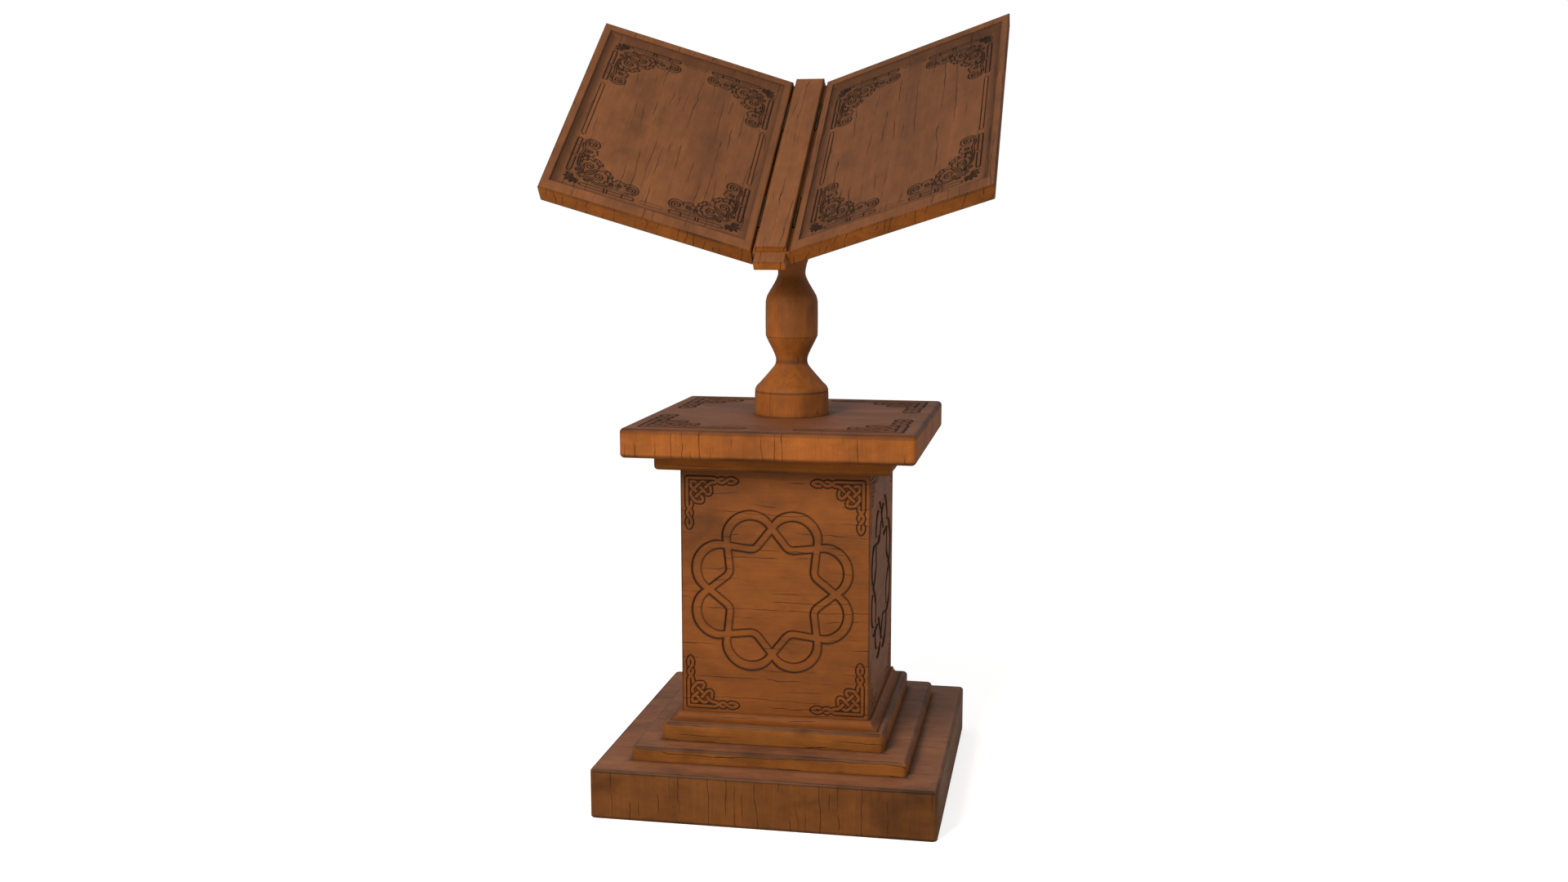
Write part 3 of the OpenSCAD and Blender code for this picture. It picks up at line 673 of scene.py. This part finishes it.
def wood(name, albedo, turn, seed, cracks=0.08, side_turn=None, side_painted_light=None,
         edges=None, foot=None, lean=1.0, shine=0.20, stain=0.56, painted_right_shade=0.0):
    """Oiled timber: streaks, fibres, checks, smudges, wear on edges, and painted shade in
    carving and round feet.
    """
    material, tree, principled = shader(name)
    vector = grain_vector(tree, turn, seed)
    figure = list(grain_figure(tree, vector, cracks, lean))
    base = albedo
    if side_turn is not None:
        side = grain_figure(tree, grain_vector(tree, side_turn, seed + 3),
                            cracks + UPRIGHT_CRACKS, lean)
        level = remap(tree, coordinates(tree, "Normal")[2], *LEVEL_NORMAL)
        for k in range(3):
            made = node(tree, "ShaderNodeMix", {0: level, 2: side[k], 3: figure[k]})
            figure[k] = made.outputs[0]
        # upright faces take the side colour: a copy of the oak painted with the light and shade
        # that falls on them
        base = mix_colour(tree, level, side_painted_light or albedo, albedo)
    streak, fibre, crack = figure
    smudge = stretched_noise(tree, vector, (6, 11, 11), 4, 0.6, 0.3)
    mottle = stretched_noise(tree, vector, (34, 58, 58), 5, 0.65)
    # each layer is a mask, its low and high values, and the tone at each
    layers = [(streak, 0.28, 0.74, 0.80, 1.20), (fibre, 0.35, 0.68, 0.90, 1.05),
              (mottle, 0.30, 0.70, 0.86, 1.16), (smudge, 0.50, 0.72, 1.0, stain),
              (crack, 0.0, 1.0, 1.0, CRACK_TONE)]
    # painted shade: the right wing darker than the left, for how the light falls on it
    if painted_right_shade:
        right = remap(tree, coordinates(tree)[0], -10 * MM, 10 * MM)
        if side_turn is not None:
            right = times(tree, right, level)
        layers.append((right, 0.0, 1.0, 1.0, 1 - painted_right_shade))
    # the carve attribute holds painted shade in cuts, coves and round feet, and stains
    carve = node(tree, "ShaderNodeAttribute", attribute_name="carve").outputs["Fac"]
    wear = node(tree, "ShaderNodeAttribute", attribute_name="wear").outputs["Fac"]
    if edges:
        wear = box_edges(tree, *edges)
    # painted shade round the foot of the block above takes the place of the carve attribute
    if foot:
        carve = times(tree, foot_shade(tree, *foot), PAINTED_FOOT_SHADE)
    patchy = remap(tree, smudge, 0.34, 0.62, 0.45, 0.95)
    layers += [(times(tree, wear, patchy), 0.0, 1.0, 1.0, WEAR_TONE),
               (carve, 0.0, 1.0, 1.0, SHADE_STAIN_TONE)]
    tone = remap(tree, *layers[0])
    for layer in layers[1:]:
        tone = times(tree, tone, remap(tree, *layer))
    colour = node(tree, "ShaderNodeVectorMath", {0: base, "Scale": tone}, operation="SCALE")
    rough = remap(tree, fibre, 0.3, 0.7, 0.54, 0.66)
    gloss = shine
    if side_turn is not None:
        gloss = remap(tree, level, 0.0, 1.0, UPRIGHT_SHINE, shine)
    fill(tree, principled, {
        "Base Color": colour.outputs[0], "Specular IOR Level": gloss,
        "Roughness": maths(tree, "ADD", rough, times(tree, carve, 0.25), clamp=True),
    })
    height = maths(tree, "SUBTRACT", times(tree, fibre, 0.30), crack)
    add_bump(tree, principled, height, 0.40, 0.7 * MM)
    return material


def metal(name, colour, dull, rough_low, rough_high):
    """Brushed or aged metal with uneven tone and roughness."""
    material, tree, principled = shader(name)
    vector = grain_vector(tree, GRAIN_X, 1.7)
    brush = stretched_noise(tree, vector, (60, 1600, 1600), 2, 0.5)
    patch = stretched_noise(tree, vector, (70, 70, 70), 4, 0.6)
    factor = remap(tree, patch, 0.35, 0.7)
    fill(tree, principled, {
        "Base Color": mix_colour(tree, factor, colour, dull), "Metallic": 1.0,
        "Roughness": remap(tree, brush, 0.3, 0.7, rough_low, rough_high),
    })
    add_bump(tree, principled, brush, 0.12, 0.2 * MM)
    return material


def felt(name, colour):
    """Short matted wool."""
    material, tree, principled = shader(name)
    vector = grain_vector(tree, GRAIN_X, 0.3)
    pile = stretched_noise(tree, vector, (900, 900, 900), 3, 0.7)
    tone = remap(tree, pile, 0.3, 0.7)
    shade = mix_colour(tree, tone, tinted(colour, 0.55), colour)
    fill(tree, principled, {"Base Color": shade, "Roughness": 0.95, "Sheen Weight": 0.4})
    add_bump(tree, principled, pile, 0.6, 0.5 * MM)
    return material


def tinted(colour, factor):
    """A colour made lighter or darker."""
    return tuple(channel * factor for channel in colour)


# Level tops and upright faces are one oak painted lit and shaded: the upright colours
# (PLINTH_SIDE, STEP_SIDE, SLAB_SIDE, REST_FRONT) are warmer for the warm light falling on them,
# PLINTH_SIDE darker and SLAB_SIDE lighter for how much of it falls there
OAK = (0.166, 0.0500, 0.0067)
LEVEL_OAK = (0.178, 0.0600, 0.0190)
PLINTH_OAK = (0.212, 0.0850, 0.0380)
PLINTH_SIDE = (0.124, 0.0425, 0.0080)
STEP_SIDE = (0.214, 0.0740, 0.0130)
REST_OAK = (0.168, 0.0620, 0.0200)
REST_FRONT = (0.168, 0.0515, 0.0062)
CORNICE_OAK = (0.206, 0.0625, 0.0055)
SLAB_SIDE = (0.228, 0.0700, 0.0118)
COLUMN_OAK = (0.226, 0.0700, 0.0104)
RAW_OAK = (0.46, 0.29, 0.15)

base_low, base_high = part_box("base_slab")
middle_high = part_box("middle_step")[1]
upper_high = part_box("upper_step")[1]
box_low, box_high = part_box("front_panel")

plinth_wood = wood("plinth_wood", PLINTH_OAK, GRAIN_X, 1, 0.02, GRAIN_Z, PLINTH_SIDE,
                   edges=(base_high.x, base_low.z, base_high.z),
                   foot=(middle_high.x, 12 * MM, base_high.z), shine=0.30, stain=0.42)
middle_wood = wood("middle_wood", PLINTH_OAK, GRAIN_X, 4, 0.03, GRAIN_X, STEP_SIDE,
                   edges=(middle_high.x, base_low.z, middle_high.z),
                   foot=(upper_high.x, 11 * MM, middle_high.z), shine=0.30)
# painted shade: the upper step's upright faces a little darker than the middle step's
upper_wood = wood("upper_wood", PLINTH_OAK, GRAIN_X, 5, 0.03, GRAIN_X, tinted(STEP_SIDE, 0.92),
                  edges=(upper_high.x, base_low.z, upper_high.z),
                  foot=(box_high.x + 13 * MM, 7 * MM, upper_high.z), shine=0.30)
# painted shade: the moulding a little darker, for the shade in the corner at the panels' foot
moulding_wood = wood("moulding_wood", tinted(OAK, 0.95), GRAIN_X, 6, 0.04)
moulding_side = wood("moulding_side", tinted(OAK, 0.95), GRAIN_Y, 6, 0.04)
cornice_wood = wood("cornice_wood", CORNICE_OAK, GRAIN_X, 19, 0.0, shine=0.12)
slab_wood = wood("slab_wood", LEVEL_OAK, GRAIN_X, 23, 0.0, GRAIN_Z, SLAB_SIDE, shine=0.30)
column_wood = wood("column_wood", COLUMN_OAK, GRAIN_TURNED, 29, 0.02)
board_wood = wood("board_wood", REST_OAK, GRAIN_SPINE, 31, 0.05, GRAIN_SPINE, REST_FRONT,
                  lean=0.25, shine=0.30, stain=0.72, painted_right_shade=0.18)
field_wood = wood("field_wood", REST_OAK, GRAIN_SPINE, 37, 0.07, lean=0.25, shine=0.30,
                  stain=0.72, painted_right_shade=0.22)
# painted light: the spine's upright faces lighter than the boards' fronts
spine_wood = wood("spine_wood", REST_OAK, GRAIN_SPINE, 41, 0.06, GRAIN_SPINE,
                  tinted(REST_FRONT, 1.36), lean=0.25, shine=0.30, stain=0.72)
under_wood = wood("under_wood", tinted(OAK, 0.75), GRAIN_X, 43, 0.05)
raw_wood = wood("raw_wood", RAW_OAK, GRAIN_Z, 47, 0.02)
steel = metal("zinc_steel", (0.62, 0.62, 0.63), (0.42, 0.42, 0.44), 0.28, 0.42)
brass = metal("aged_brass", (0.10, 0.062, 0.03), (0.05, 0.032, 0.018), 0.45, 0.65)
wool = felt("green_felt", (0.05, 0.09, 0.05))

# ---- plinth and steps
SLAB_EASE = 6 * MM
STEP_EASE = 5 * MM
CORNER_EASE = 8 * MM
BASE_EASE = 4 * MM
BASE_UNDER_EASE = 3 * MM
SHARP_EASE = 0.5 * MM


def stack_slab(node_name, material, slot, top_radius, bottom_radius):
    """A level square slab in the place and size of its CAD node."""
    low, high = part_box(node_name)
    size = high - low
    centre = (low + high) / 2
    piece = plain_block(node_name + "_skin", size.x, size.y, size.z, top_radius, bottom_radius,
                        upright(centre, high.z), CORNER_EASE)
    return finish_piece(piece, material, "stand", slot, node_name)


stack_slab("base_slab", plinth_wood, "plinth_wood", BASE_EASE, BASE_UNDER_EASE)
stack_slab("middle_step", middle_wood, "step_wood", STEP_EASE, SHARP_EASE)
stack_slab("upper_step", upper_wood, "step_wood", STEP_EASE, SHARP_EASE)
stack_slab("cornice_board", cornice_wood, "cap_wood", SHARP_EASE, SLAB_EASE)

# ---- carved box panels
PANEL_EDGE = 1.6 * MM
KNOT_SIDE = 7.5
KNOT_TOP = 12.0
KNOT_BOTTOM = 16.5
STRAP = 2.2
ROSETTE_SHIFT = -4.0
ROSETTE_Z = 305.0
BAND_DEPTH = 2.4 * MM
# half width of the medallion's bands, and how much more they have at the lobes' tips
BAND_HALF, BAND_GAIN = 5.3, 1.5
# depths in mm: beside a knot's straps, where one passes under, and of its rounding
KNOT_CUT, UNDER_CUT, CROWN = 1.35, 0.8, 0.28
KNOT_ZONE_SIDE, KNOT_ZONE_BOTTOM, KNOT_ZONE_TOP = 84 * MM, 92 * MM, 88 * MM
CARVED_STEP = 0.56 * MM
PANEL_STEP = 0.72 * MM

panel_w = box_high.x - box_low.x
panel_h = box_high.z - box_low.z
panel_t = box_high.y - box_low.y
knot = weave()


def knot_relief(a, b, scale):
    """Cuts of a corner knot; a and b are mm from its corner, scale enlarges it."""
    strands, over, points = knot
    a, b = a / scale, b / scale
    d = distance(a, b, strands, 6.0)
    outside = smooth_step(d, STRAP - 0.25, STRAP + 0.25) * (1 - smooth_step(d, 3.5, 4.2))
    crown = CROWN * np.clip(d / STRAP, 0, 1) ** 2
    d_over = distance(a, b, over, 6.0)
    to_cross = np.full(a.shape, 99.0)
    for x, y in points:
        to_cross = np.minimum(to_cross, np.hypot(a - x, b - y))
    under = smooth_step(d_over, STRAP - 0.25, STRAP + 0.2) * (1 - smooth_step(d_over, 2.9, 3.6))
    under = under * (1 - smooth_step(to_cross, 3.9, 4.3)) * (d < STRAP)
    cut_depth = KNOT_CUT * outside + UNDER_CUT * under + crown * (1 - outside)
    # painted shade in the cuts beside the straps and where a strap passes under; the straps a
    # little darker too
    dark = np.maximum(outside, 0.85 * under) + 0.10 * (d < STRAP)
    return cut_depth * MM * scale**0.4, np.clip(dark, 0, 1)


def panel_field():
    """Grid lines of one box panel, and its height, darkness and wear over them."""
    us = lines(0, panel_w, KNOT_ZONE_SIDE, KNOT_ZONE_SIDE,
               CARVED_STEP, PANEL_STEP, CARVED_STEP)
    vs = lines(0, panel_h, KNOT_ZONE_BOTTOM, KNOT_ZONE_TOP,
               CARVED_STEP, PANEL_STEP, CARVED_STEP)
    u, v = np.meshgrid(us, vs, indexing="ij")
    a = np.minimum(u, panel_w - u) / MM - KNOT_SIDE
    b = np.where(v > panel_h / 2, (panel_h - v) / MM - KNOT_TOP, v / MM - KNOT_BOTTOM)
    knot_depth, knot_dark = knot_relief(a, b, 1.0)
    x = (u - panel_w / 2) / MM - ROSETTE_SHIFT
    y = v / MM - (ROSETTE_Z - box_low.z / MM)
    reach = np.hypot(x, y)
    d = distance(x, y, rosette_paths(), 14.0)
    half_width = BAND_HALF + BAND_GAIN * smooth_step(reach, 92, 112)
    band_depth, band_dark = band_edges(d, half_width, 0.8, BAND_DEPTH)
    edge = np.minimum(u, panel_w - u)
    wear = 1 - smooth_step(edge, PANEL_EDGE, PANEL_EDGE + 1.6 * MM)
    # painted shade at the panel's foot, darkest in a thin line at the moulding, and under the
    # cornice at its head
    foot = 0.7 * np.exp(-((v / (2.2 * MM)) ** 2)) + 0.3 * np.exp(-(v / (9 * MM)))
    head = 0.45 * np.exp(-((panel_h - v) / (9 * MM)))
    carve = np.clip(knot_dark + band_dark + foot + head, 0, 1)
    height = -knot_depth - band_depth - edge_drop(edge, PANEL_EDGE)
    return us, vs, (height, carve, wear)


def panel_place(side):
    """Places a panel on side 0 front, 1 right, 2 back or 3 left, with mitred ends."""
    turn = math.radians(90 * side)
    c, s = math.cos(turn), math.sin(turn)

    def place(u, v, h):
        x = u - panel_w / 2
        reach = panel_w / 2
        inward = panel_t * np.clip(-h / panel_t, 0, 1)
        x = x - np.where(np.abs(x) > reach - 1e-6, np.sign(x) * inward, 0)
        y = -reach - h
        return np.stack([x * c - y * s, x * s + y * c, box_low.z + v], -1)
    return place


panel_us, panel_vs, panel_grids = panel_field()
for panel_side, (panel_label, panel_grain, panel_seed) in enumerate((
    ("front", GRAIN_X, 7), ("right", GRAIN_Y, 17), ("back", GRAIN_X, 11), ("left", GRAIN_Y, 13),
)):
    panel_wood = wood(panel_label + "_wood", OAK, panel_grain, panel_seed, 0.08)
    panel_name = panel_label + "_panel"
    for quarter in quartered(panel_name + "_carving", panel_us, panel_vs, panel_grids,
                             panel_place(panel_side), [(0, panel_t, 0.0)]):
        finish_piece(quarter, panel_wood, "stand", "pedestal_wood", panel_name)

# ---- carved top slab
SLAB_KNOT_SCALE = 1.93
SLAB_KNOT_MARGIN = 22.0
SLAB_KNOT_REACH = 172 * MM
COLUMN_FOOT = 53.5 * MM

slab_low, slab_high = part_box("top_slab")


def top_slab():
    """The top slab, with a large knot carved in each corner of its top."""
    half = (slab_high.x - slab_low.x) / 2
    us = with_edges(lines(-half, half, SLAB_KNOT_REACH, SLAB_KNOT_REACH,
                          1.0 * MM, 3 * MM, 1.0 * MM), SLAB_EASE)
    u, v = np.meshgrid(us, us, indexing="ij")
    height, wear = eased(u, v, us, us, SLAB_EASE)
    a = (half - np.abs(u)) / MM - SLAB_KNOT_MARGIN
    b = (half - np.abs(v)) / MM - SLAB_KNOT_MARGIN
    depth, dark = knot_relief(a, b, SLAB_KNOT_SCALE)
    # painted shade round the column's foot
    foot = 0.5 * np.exp(-np.maximum(np.hypot(u, v) - COLUMN_FOOT, 0) / (9 * MM))
    stain = 0.30 * (dark > 0.05)
    grids = (height - depth, np.clip(dark + stain + foot, 0, 1), wear)
    pieces = quartered("top_slab_carving", us, us, grids, upright((0, 0), slab_high.z),
                       rings(slab_high.z - slab_low.z, SLAB_EASE, SLAB_EASE), CORNER_EASE)
    for piece in pieces:
        finish_piece(piece, slab_wood, "stand", "cap_wood", "top_slab")


top_slab()

# ---- turned column
# height above the slab and radius, in mm
TURNS = (
    (0, 53.5), (31, 53.5), (36, 53), (41, 50.5), (46, 45.5), (58, 35), (69, 25.8), (74, 23.3),
    (79, 22.8), (85, 24), (94, 28), (103, 32.6), (111, 36.3), (118, 37.7), (158, 37.7),
    (165, 37), (172, 35), (184, 28), (193, 23), (201, 20), (208, 20.1), (216, 21.8),
    (224, 24.6), (232, 28.4), (239, 32.4), (245, 35), (250, 36), (257, 36), (260, 34.5),
)
COLUMN_SIDES = 160
BEAD_LINE = 33.5
NECK_LINE = 76


def column():
    """The baluster, turned round its axis, with faint tool marks."""
    low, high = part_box("swivel_pin")
    base_z = slab_high.z
    outline = curve(TURNS, steps=7)
    z = outline[:, 0] * MM
    r = outline[:, 1] * MM
    marks = 0.06 * MM * np.sin(outline[:, 0] * 2.1) * np.sin(outline[:, 0] * 0.37)
    ring_line = np.exp(-(((outline[:, 0] - BEAD_LINE) / 1.3) ** 2))
    r = r + marks - 0.5 * MM * ring_line
    # painted shade in the bead's groove, at the neck and at the foot
    carve = 0.55 * ring_line + 0.5 * np.exp(-((outline[:, 0] - NECK_LINE) / 4.0) ** 2)
    carve += 0.35 * np.exp(-(outline[:, 0] / 3.0) ** 2)
    hole = (high.x - low.x) / 2 + 0.05 * MM
    z = np.concatenate([[0], z, [z[-1]], [z[-1] - 40 * MM]])
    r = np.concatenate([[20 * MM], r, [hole], [hole]])
    carve = np.concatenate([[0], carve, [0], [1]])
    a = np.linspace(0, 2 * math.pi, COLUMN_SIDES, endpoint=False)
    verts = np.stack([np.outer(r, np.cos(a)), np.outer(r, np.sin(a)),
                      np.repeat(base_z + z[:, None], COLUMN_SIDES, 1)], -1).reshape(-1, 3)
    index = np.arange(len(z) * COLUMN_SIDES).reshape(len(z), COLUMN_SIDES)
    after = np.roll(index, -1, 1)
    quads = np.stack([index[:-1], after[:-1], after[1:], index[1:]], -1).reshape(-1, 4)
    loops = np.concatenate([quads.ravel(), index[0][::-1], index[-1]])
    sizes = np.concatenate([np.full(len(quads), 4), [COLUMN_SIDES, COLUMN_SIDES]])
    values = {"carve": np.repeat(carve, COLUMN_SIDES), "wear": np.zeros(len(verts))}
    piece = make_mesh("column_skin", verts, loops, sizes, values, sharp_angle=40)
    finish_piece(piece, column_wood, "stand", "column_wood", "column")


column()

# ---- book rest
BOARD_EASE = 2.4 * MM
FIELD_GAP = 0.2 * MM
COVE = 11.0 * MM
SCROLL_SIDE = 10.0
SCROLL_ENDS = 12.5
BAR_LONG = 60.0
BAR_SHORT = 13.0
BAR_HALF = 2.8
# half width, depth and softness of a cut, in mm
SCROLL_CUT = (0.74, 1.25, 0.42)
BAR_CUT = (0.62, 1.2, 0.40)
FIELD_STEP = 0.50 * MM
SEAT_LINES = np.array([-1.6, -0.8, 0, 0.3, 0.6, 0.9, 1.4]) * MM


def rest_point(x, s, n):
    """Positions given in the rest's own frame (x, s, n)."""
    x, s, n = (np.asarray(k, float)[:, None] for k in (x, s, n))
    along = x * np.array(X_AXIS) + s * np.array(S_AXIS) + n * np.array(N_AXIS)
    return np.array(REST_ORIGIN) + along


def wing_place(side, start_w=0.0, start_s=0.0, depth=0.0):
    """Places a slab on a wing: u out along the slope, v up it, height along n."""
    def place(u, v, h):
        w = u + start_w
        x = WING_X + w * math.cos(WING_RISE)
        n = w * math.sin(WING_RISE) + h - depth
        return rest_point(side * x, v + start_s, n)
    return place


def finish_wing_piece(piece, side, material, slot, replaced):
    """Turns a mirrored piece's faces the right way out and finishes it."""
    if side < 0:
        piece.data.flip_normals()
    label = "left" if side < 0 else "right"
    finish_piece(piece, material, f"{label}_wing", slot, f"{label}_{replaced}")


def seat_lines(length, seat):
    """Grid lines of a board: coarse, but close together at its seat's walls."""
    near = np.concatenate([seat[0] + SEAT_LINES, seat[1] - SEAT_LINES])
    coarse = [x for x in even_lines(0, length, 25 * MM)
              if np.min(np.abs(x - near)) > 3 * MM]
    return with_edges(np.array(sorted(set(coarse) | set(near))), BOARD_EASE)


def wing_board(side, label):
    """A board of the rest: a flat border round a sunken seat for the carved field."""
    u_seat = (FIELD_SIDE, WING_W - FIELD_SIDE)
    v_seat = (FIELD_FRONT, WING_LEN - FIELD_BACK)
    us, vs = seat_lines(WING_W, u_seat), seat_lines(WING_LEN, v_seat)
    u, v = np.meshgrid(us, vs, indexing="ij")
    height, wear = eased(u, v, us, vs, BOARD_EASE)
    inside = np.minimum(np.minimum(u - u_seat[0], u_seat[1] - u),
                        np.minimum(v - v_seat[0], v_seat[1] - v))
    sunk = smooth_step(inside, -0.1 * MM, 0.9 * MM)
    lip = np.exp(-((inside + 0.2 * MM) / (0.9 * MM)) ** 2)
    # painted shade in the sunken seat and along its wall
    grids = (height - (FIELD_DEPTH + 2 * MM) * sunk, np.clip(0.8 * sunk + 0.4 * lip, 0, 1), wear)
    piece = slab(f"{label}_board_skin", us, vs, grids, wing_place(side, start_w=0.05 * MM),
                 rings(WING_T, BOARD_EASE, BOARD_EASE))
    finish_wing_piece(piece, side, board_wood, "board_wood", "board")


def field_grid():
    """Grid lines of one carved field, and its height, darkness and wear over them."""
    width = WING_W - 2 * (FIELD_SIDE + FIELD_GAP)
    length = WING_LEN - FIELD_FRONT - FIELD_BACK - 2 * FIELD_GAP
    us = lines(0, width, 117 * MM, 117 * MM, FIELD_STEP, 2 * MM, FIELD_STEP)
    vs = lines(0, length, 120 * MM, 120 * MM, FIELD_STEP, 2.5 * MM, FIELD_STEP)
    u, v = np.meshgrid(us, vs, indexing="ij")
    edge_u = np.minimum(u, width - u)
    edge_v = np.minimum(v, length - v)
    edge = np.minimum(edge_u, edge_v)
    a = edge_u / MM - SCROLL_SIDE
    b = edge_v / MM - SCROLL_ENDS
    d = distance(a, b, scroll_paths(), 6.0)
    cut, dark = groove(d, *SCROLL_CUT)
    mass = scroll_mass(a, b)
    pillow = mass * (0.55 - 0.55 * np.clip(d / 2.0, 0, 1))
    ground = np.clip(1 - d / 2.2, 0, 1)
    # double-line bars with round ends, which link the corner scrolls
    mid_a, mid_b = width / 2 / MM - SCROLL_SIDE, length / 2 / MM - SCROLL_ENDS
    bars = [np.array([(5.5, mid_b - BAR_LONG), (5.5, mid_b)]),
            np.array([(mid_a - BAR_SHORT, 5.5), (mid_a, 5.5)])]
    bar_cut, bar_dark = groove(np.abs(distance(a, b, bars, 9.0) - BAR_HALF), *BAR_CUT)
    cove = np.clip(1 - edge / COVE, 0, 1) ** 2
    height = -(cut + bar_cut + pillow) * MM + cove * (FIELD_DEPTH - 1.6 * MM)
    # painted shade in the cove along the seat's walls, and in a wider band along the rear
    shade = 0.68 * np.clip(1 - edge / (COVE * 1.25), 0, 1) ** 0.8
    shade = np.maximum(shade, 0.60 * np.clip(1 - (length - v) / (22 * MM), 0, 1) ** 0.7)
    carve = np.clip(dark + bar_dark + mass * (0.30 + 0.26 * ground) + shade, 0, 1)
    return us, vs, (height, carve, np.zeros_like(height))


field_us, field_vs, field_grids = field_grid()
for wing_side, wing_label in ((-1, "left"), (1, "right")):
    wing_board(wing_side, wing_label)
    wing_at = wing_place(wing_side, FIELD_SIDE + FIELD_GAP, FIELD_FRONT + FIELD_GAP, FIELD_DEPTH)
    for quarter in quartered(wing_label + "_field", field_us, field_vs, field_grids, wing_at,
                             [(0, 1.8 * MM, 0.0)]):
        finish_wing_piece(quarter, wing_side, field_wood, "carved_wood", "panel_carved")


def rest_place(centre_s, top_n):
    """Places a slab level across the spine: u to +X, v up the slope, height along n."""
    def place(u, v, h):
        return rest_point(u, centre_s + v, top_n + h)
    return place


SPINE_W = 42.9 * MM
CAP_S = (5 * MM, 410 * MM)
CAP_N = (-5 * MM, 4 * MM)
BLOCK_S = (-16 * MM, 413 * MM)
BLOCK_N = (-19.4 * MM, -5 * MM)
BED_W = 50.8 * MM
BED_TOP = -5.2 * MM
BED_RUNS = ((3 * MM, 57 * MM), (123 * MM, 285 * MM), (351 * MM, 405 * MM))


def spine_bar(name, width, run, low, high, ease, under_ease, replaced):
    """One bar of the spine, from run[0] to run[1] up the slope."""
    piece = plain_block(name, width, run[1] - run[0], high - low, ease, under_ease,
                        rest_place((run[0] + run[1]) / 2, high))
    finish_piece(piece, spine_wood, "rest", "spine_wood", replaced)


spine_bar("spine_cap_skin", SPINE_W, CAP_S, *CAP_N, 2.0 * MM, 0.3 * MM, "spine_cap")
spine_bar("spine_block_skin", SPINE_W, BLOCK_S, *BLOCK_N, 1.6 * MM, 1.6 * MM, "spine_block")
for bed_number, bed_run in enumerate(BED_RUNS):
    spine_bar(f"spine_bed_{bed_number + 1}", BED_W, bed_run, BLOCK_N[0] + 0.2 * MM, BED_TOP,
              0.8 * MM, 0.8 * MM, "spine_block")

# ---- CAD pieces that stay
STAYING = {
    moulding_wood: ["foot_moulding_front", "foot_moulding_back"],
    moulding_side: ["foot_moulding_right", "foot_moulding_left"],
    under_wood: ["saddle_block", "front_bearer", "rear_bearer"],
    raw_wood: ["corner_block_1", "corner_block_2", "corner_block_3", "corner_block_4",
               "bottom_board", "top_board", "saddle_dowels"],
    wool: ["felt_strips"],
}
SLOT_METAL = {"steel": steel, "brass": brass}


def repaint(name, material):
    """Puts one material in every slot of a CAD node."""
    mesh = frame["nodes"][name].data
    if not mesh.materials:
        mesh.materials.append(material)
    for k in range(len(mesh.materials)):
        mesh.materials[k] = material


for staying_material, names in STAYING.items():
    for cad_name in names:
        repaint(cad_name, staying_material)
for part in frame["record"]["subparts"]:
    if part["material_slot"] in SLOT_METAL:
        repaint(part["node"], SLOT_METAL[part["material_slot"]])


# ---- stage, lights, camera
FLOOR_GLOW = 0.62
SURROUND_LIGHT = 0.42


def stage_floor():
    """A wide pale floor."""
    reach = 14.0
    mesh = bpy.data.meshes.new("studio_floor")
    mesh.from_pydata([(-reach, -reach, 0), (reach, -reach, 0), (reach, reach, 0),
                      (-reach, reach, 0)], [], [(0, 1, 2, 3)])
    floor = add_object("studio_floor", mesh)
    material, tree, principled = shader("pale_floor")
    path = node(tree, "ShaderNodeLightPath")
    fill(tree, principled, {
        "Base Color": (0.9, 0.9, 0.9, 1), "Roughness": 0.9, "Specular IOR Level": 0.1,
        "Emission Color": (1, 1, 1, 1),
        "Emission Strength": times(tree, path.outputs["Is Camera Ray"], FLOOR_GLOW),
    })
    mesh.materials.append(material)


def area_light(name, place, aim, size, power, colour):
    """A soft square lamp aimed at a point."""
    lamp = bpy.data.lights.new(name, "AREA")
    lamp.shape = "SQUARE"
    lamp.size = size
    lamp.energy = power
    lamp.color = colour
    light = add_object(name, lamp)
    light.location = place
    light.rotation_euler = (Vector(aim) - Vector(place)).to_track_quat("-Z", "Y").to_euler()


def studio():
    """White surround, a warm key from the front left and above, and a soft fill."""
    world = bpy.data.worlds.new("studio")
    world.use_nodes = True
    tree = world.node_tree
    background = tree.nodes["Background"]
    path = node(tree, "ShaderNodeLightPath")
    strength = node(tree, "ShaderNodeMapRange",
                    {0: path.outputs["Is Camera Ray"], 3: SURROUND_LIGHT, 4: 1.0})
    fill(tree, background, {"Color": (1, 1, 1, 1), "Strength": strength.outputs[0]})
    bpy.context.scene.world = world
    area_light("key", (-0.8, -2.04, 1.75), aim=(0, 0, 0.55), size=0.9, power=62,
               colour=(1.0, 0.86, 0.70))
    area_light("fill", (2.2, -1.6, 1.4), aim=(0, 0, 0.6), size=1.6, power=10,
               colour=(1.0, 0.97, 0.93))


def camera():
    """The camera at the view that the stand was measured from."""
    data = bpy.data.cameras.new("camera")
    data.sensor_width = 36
    data.lens = 35.57
    data.clip_end = 60
    eye = add_object("camera", data)
    eye.location = (0.3984, -2.2036, 0.8188)
    eye.rotation_euler = (math.radians(81.876), 0, math.radians(10.534))
    bpy.context.scene.camera = eye


stage_floor()
studio()
camera()
bpy.context.scene.view_settings.view_transform = "Standard"
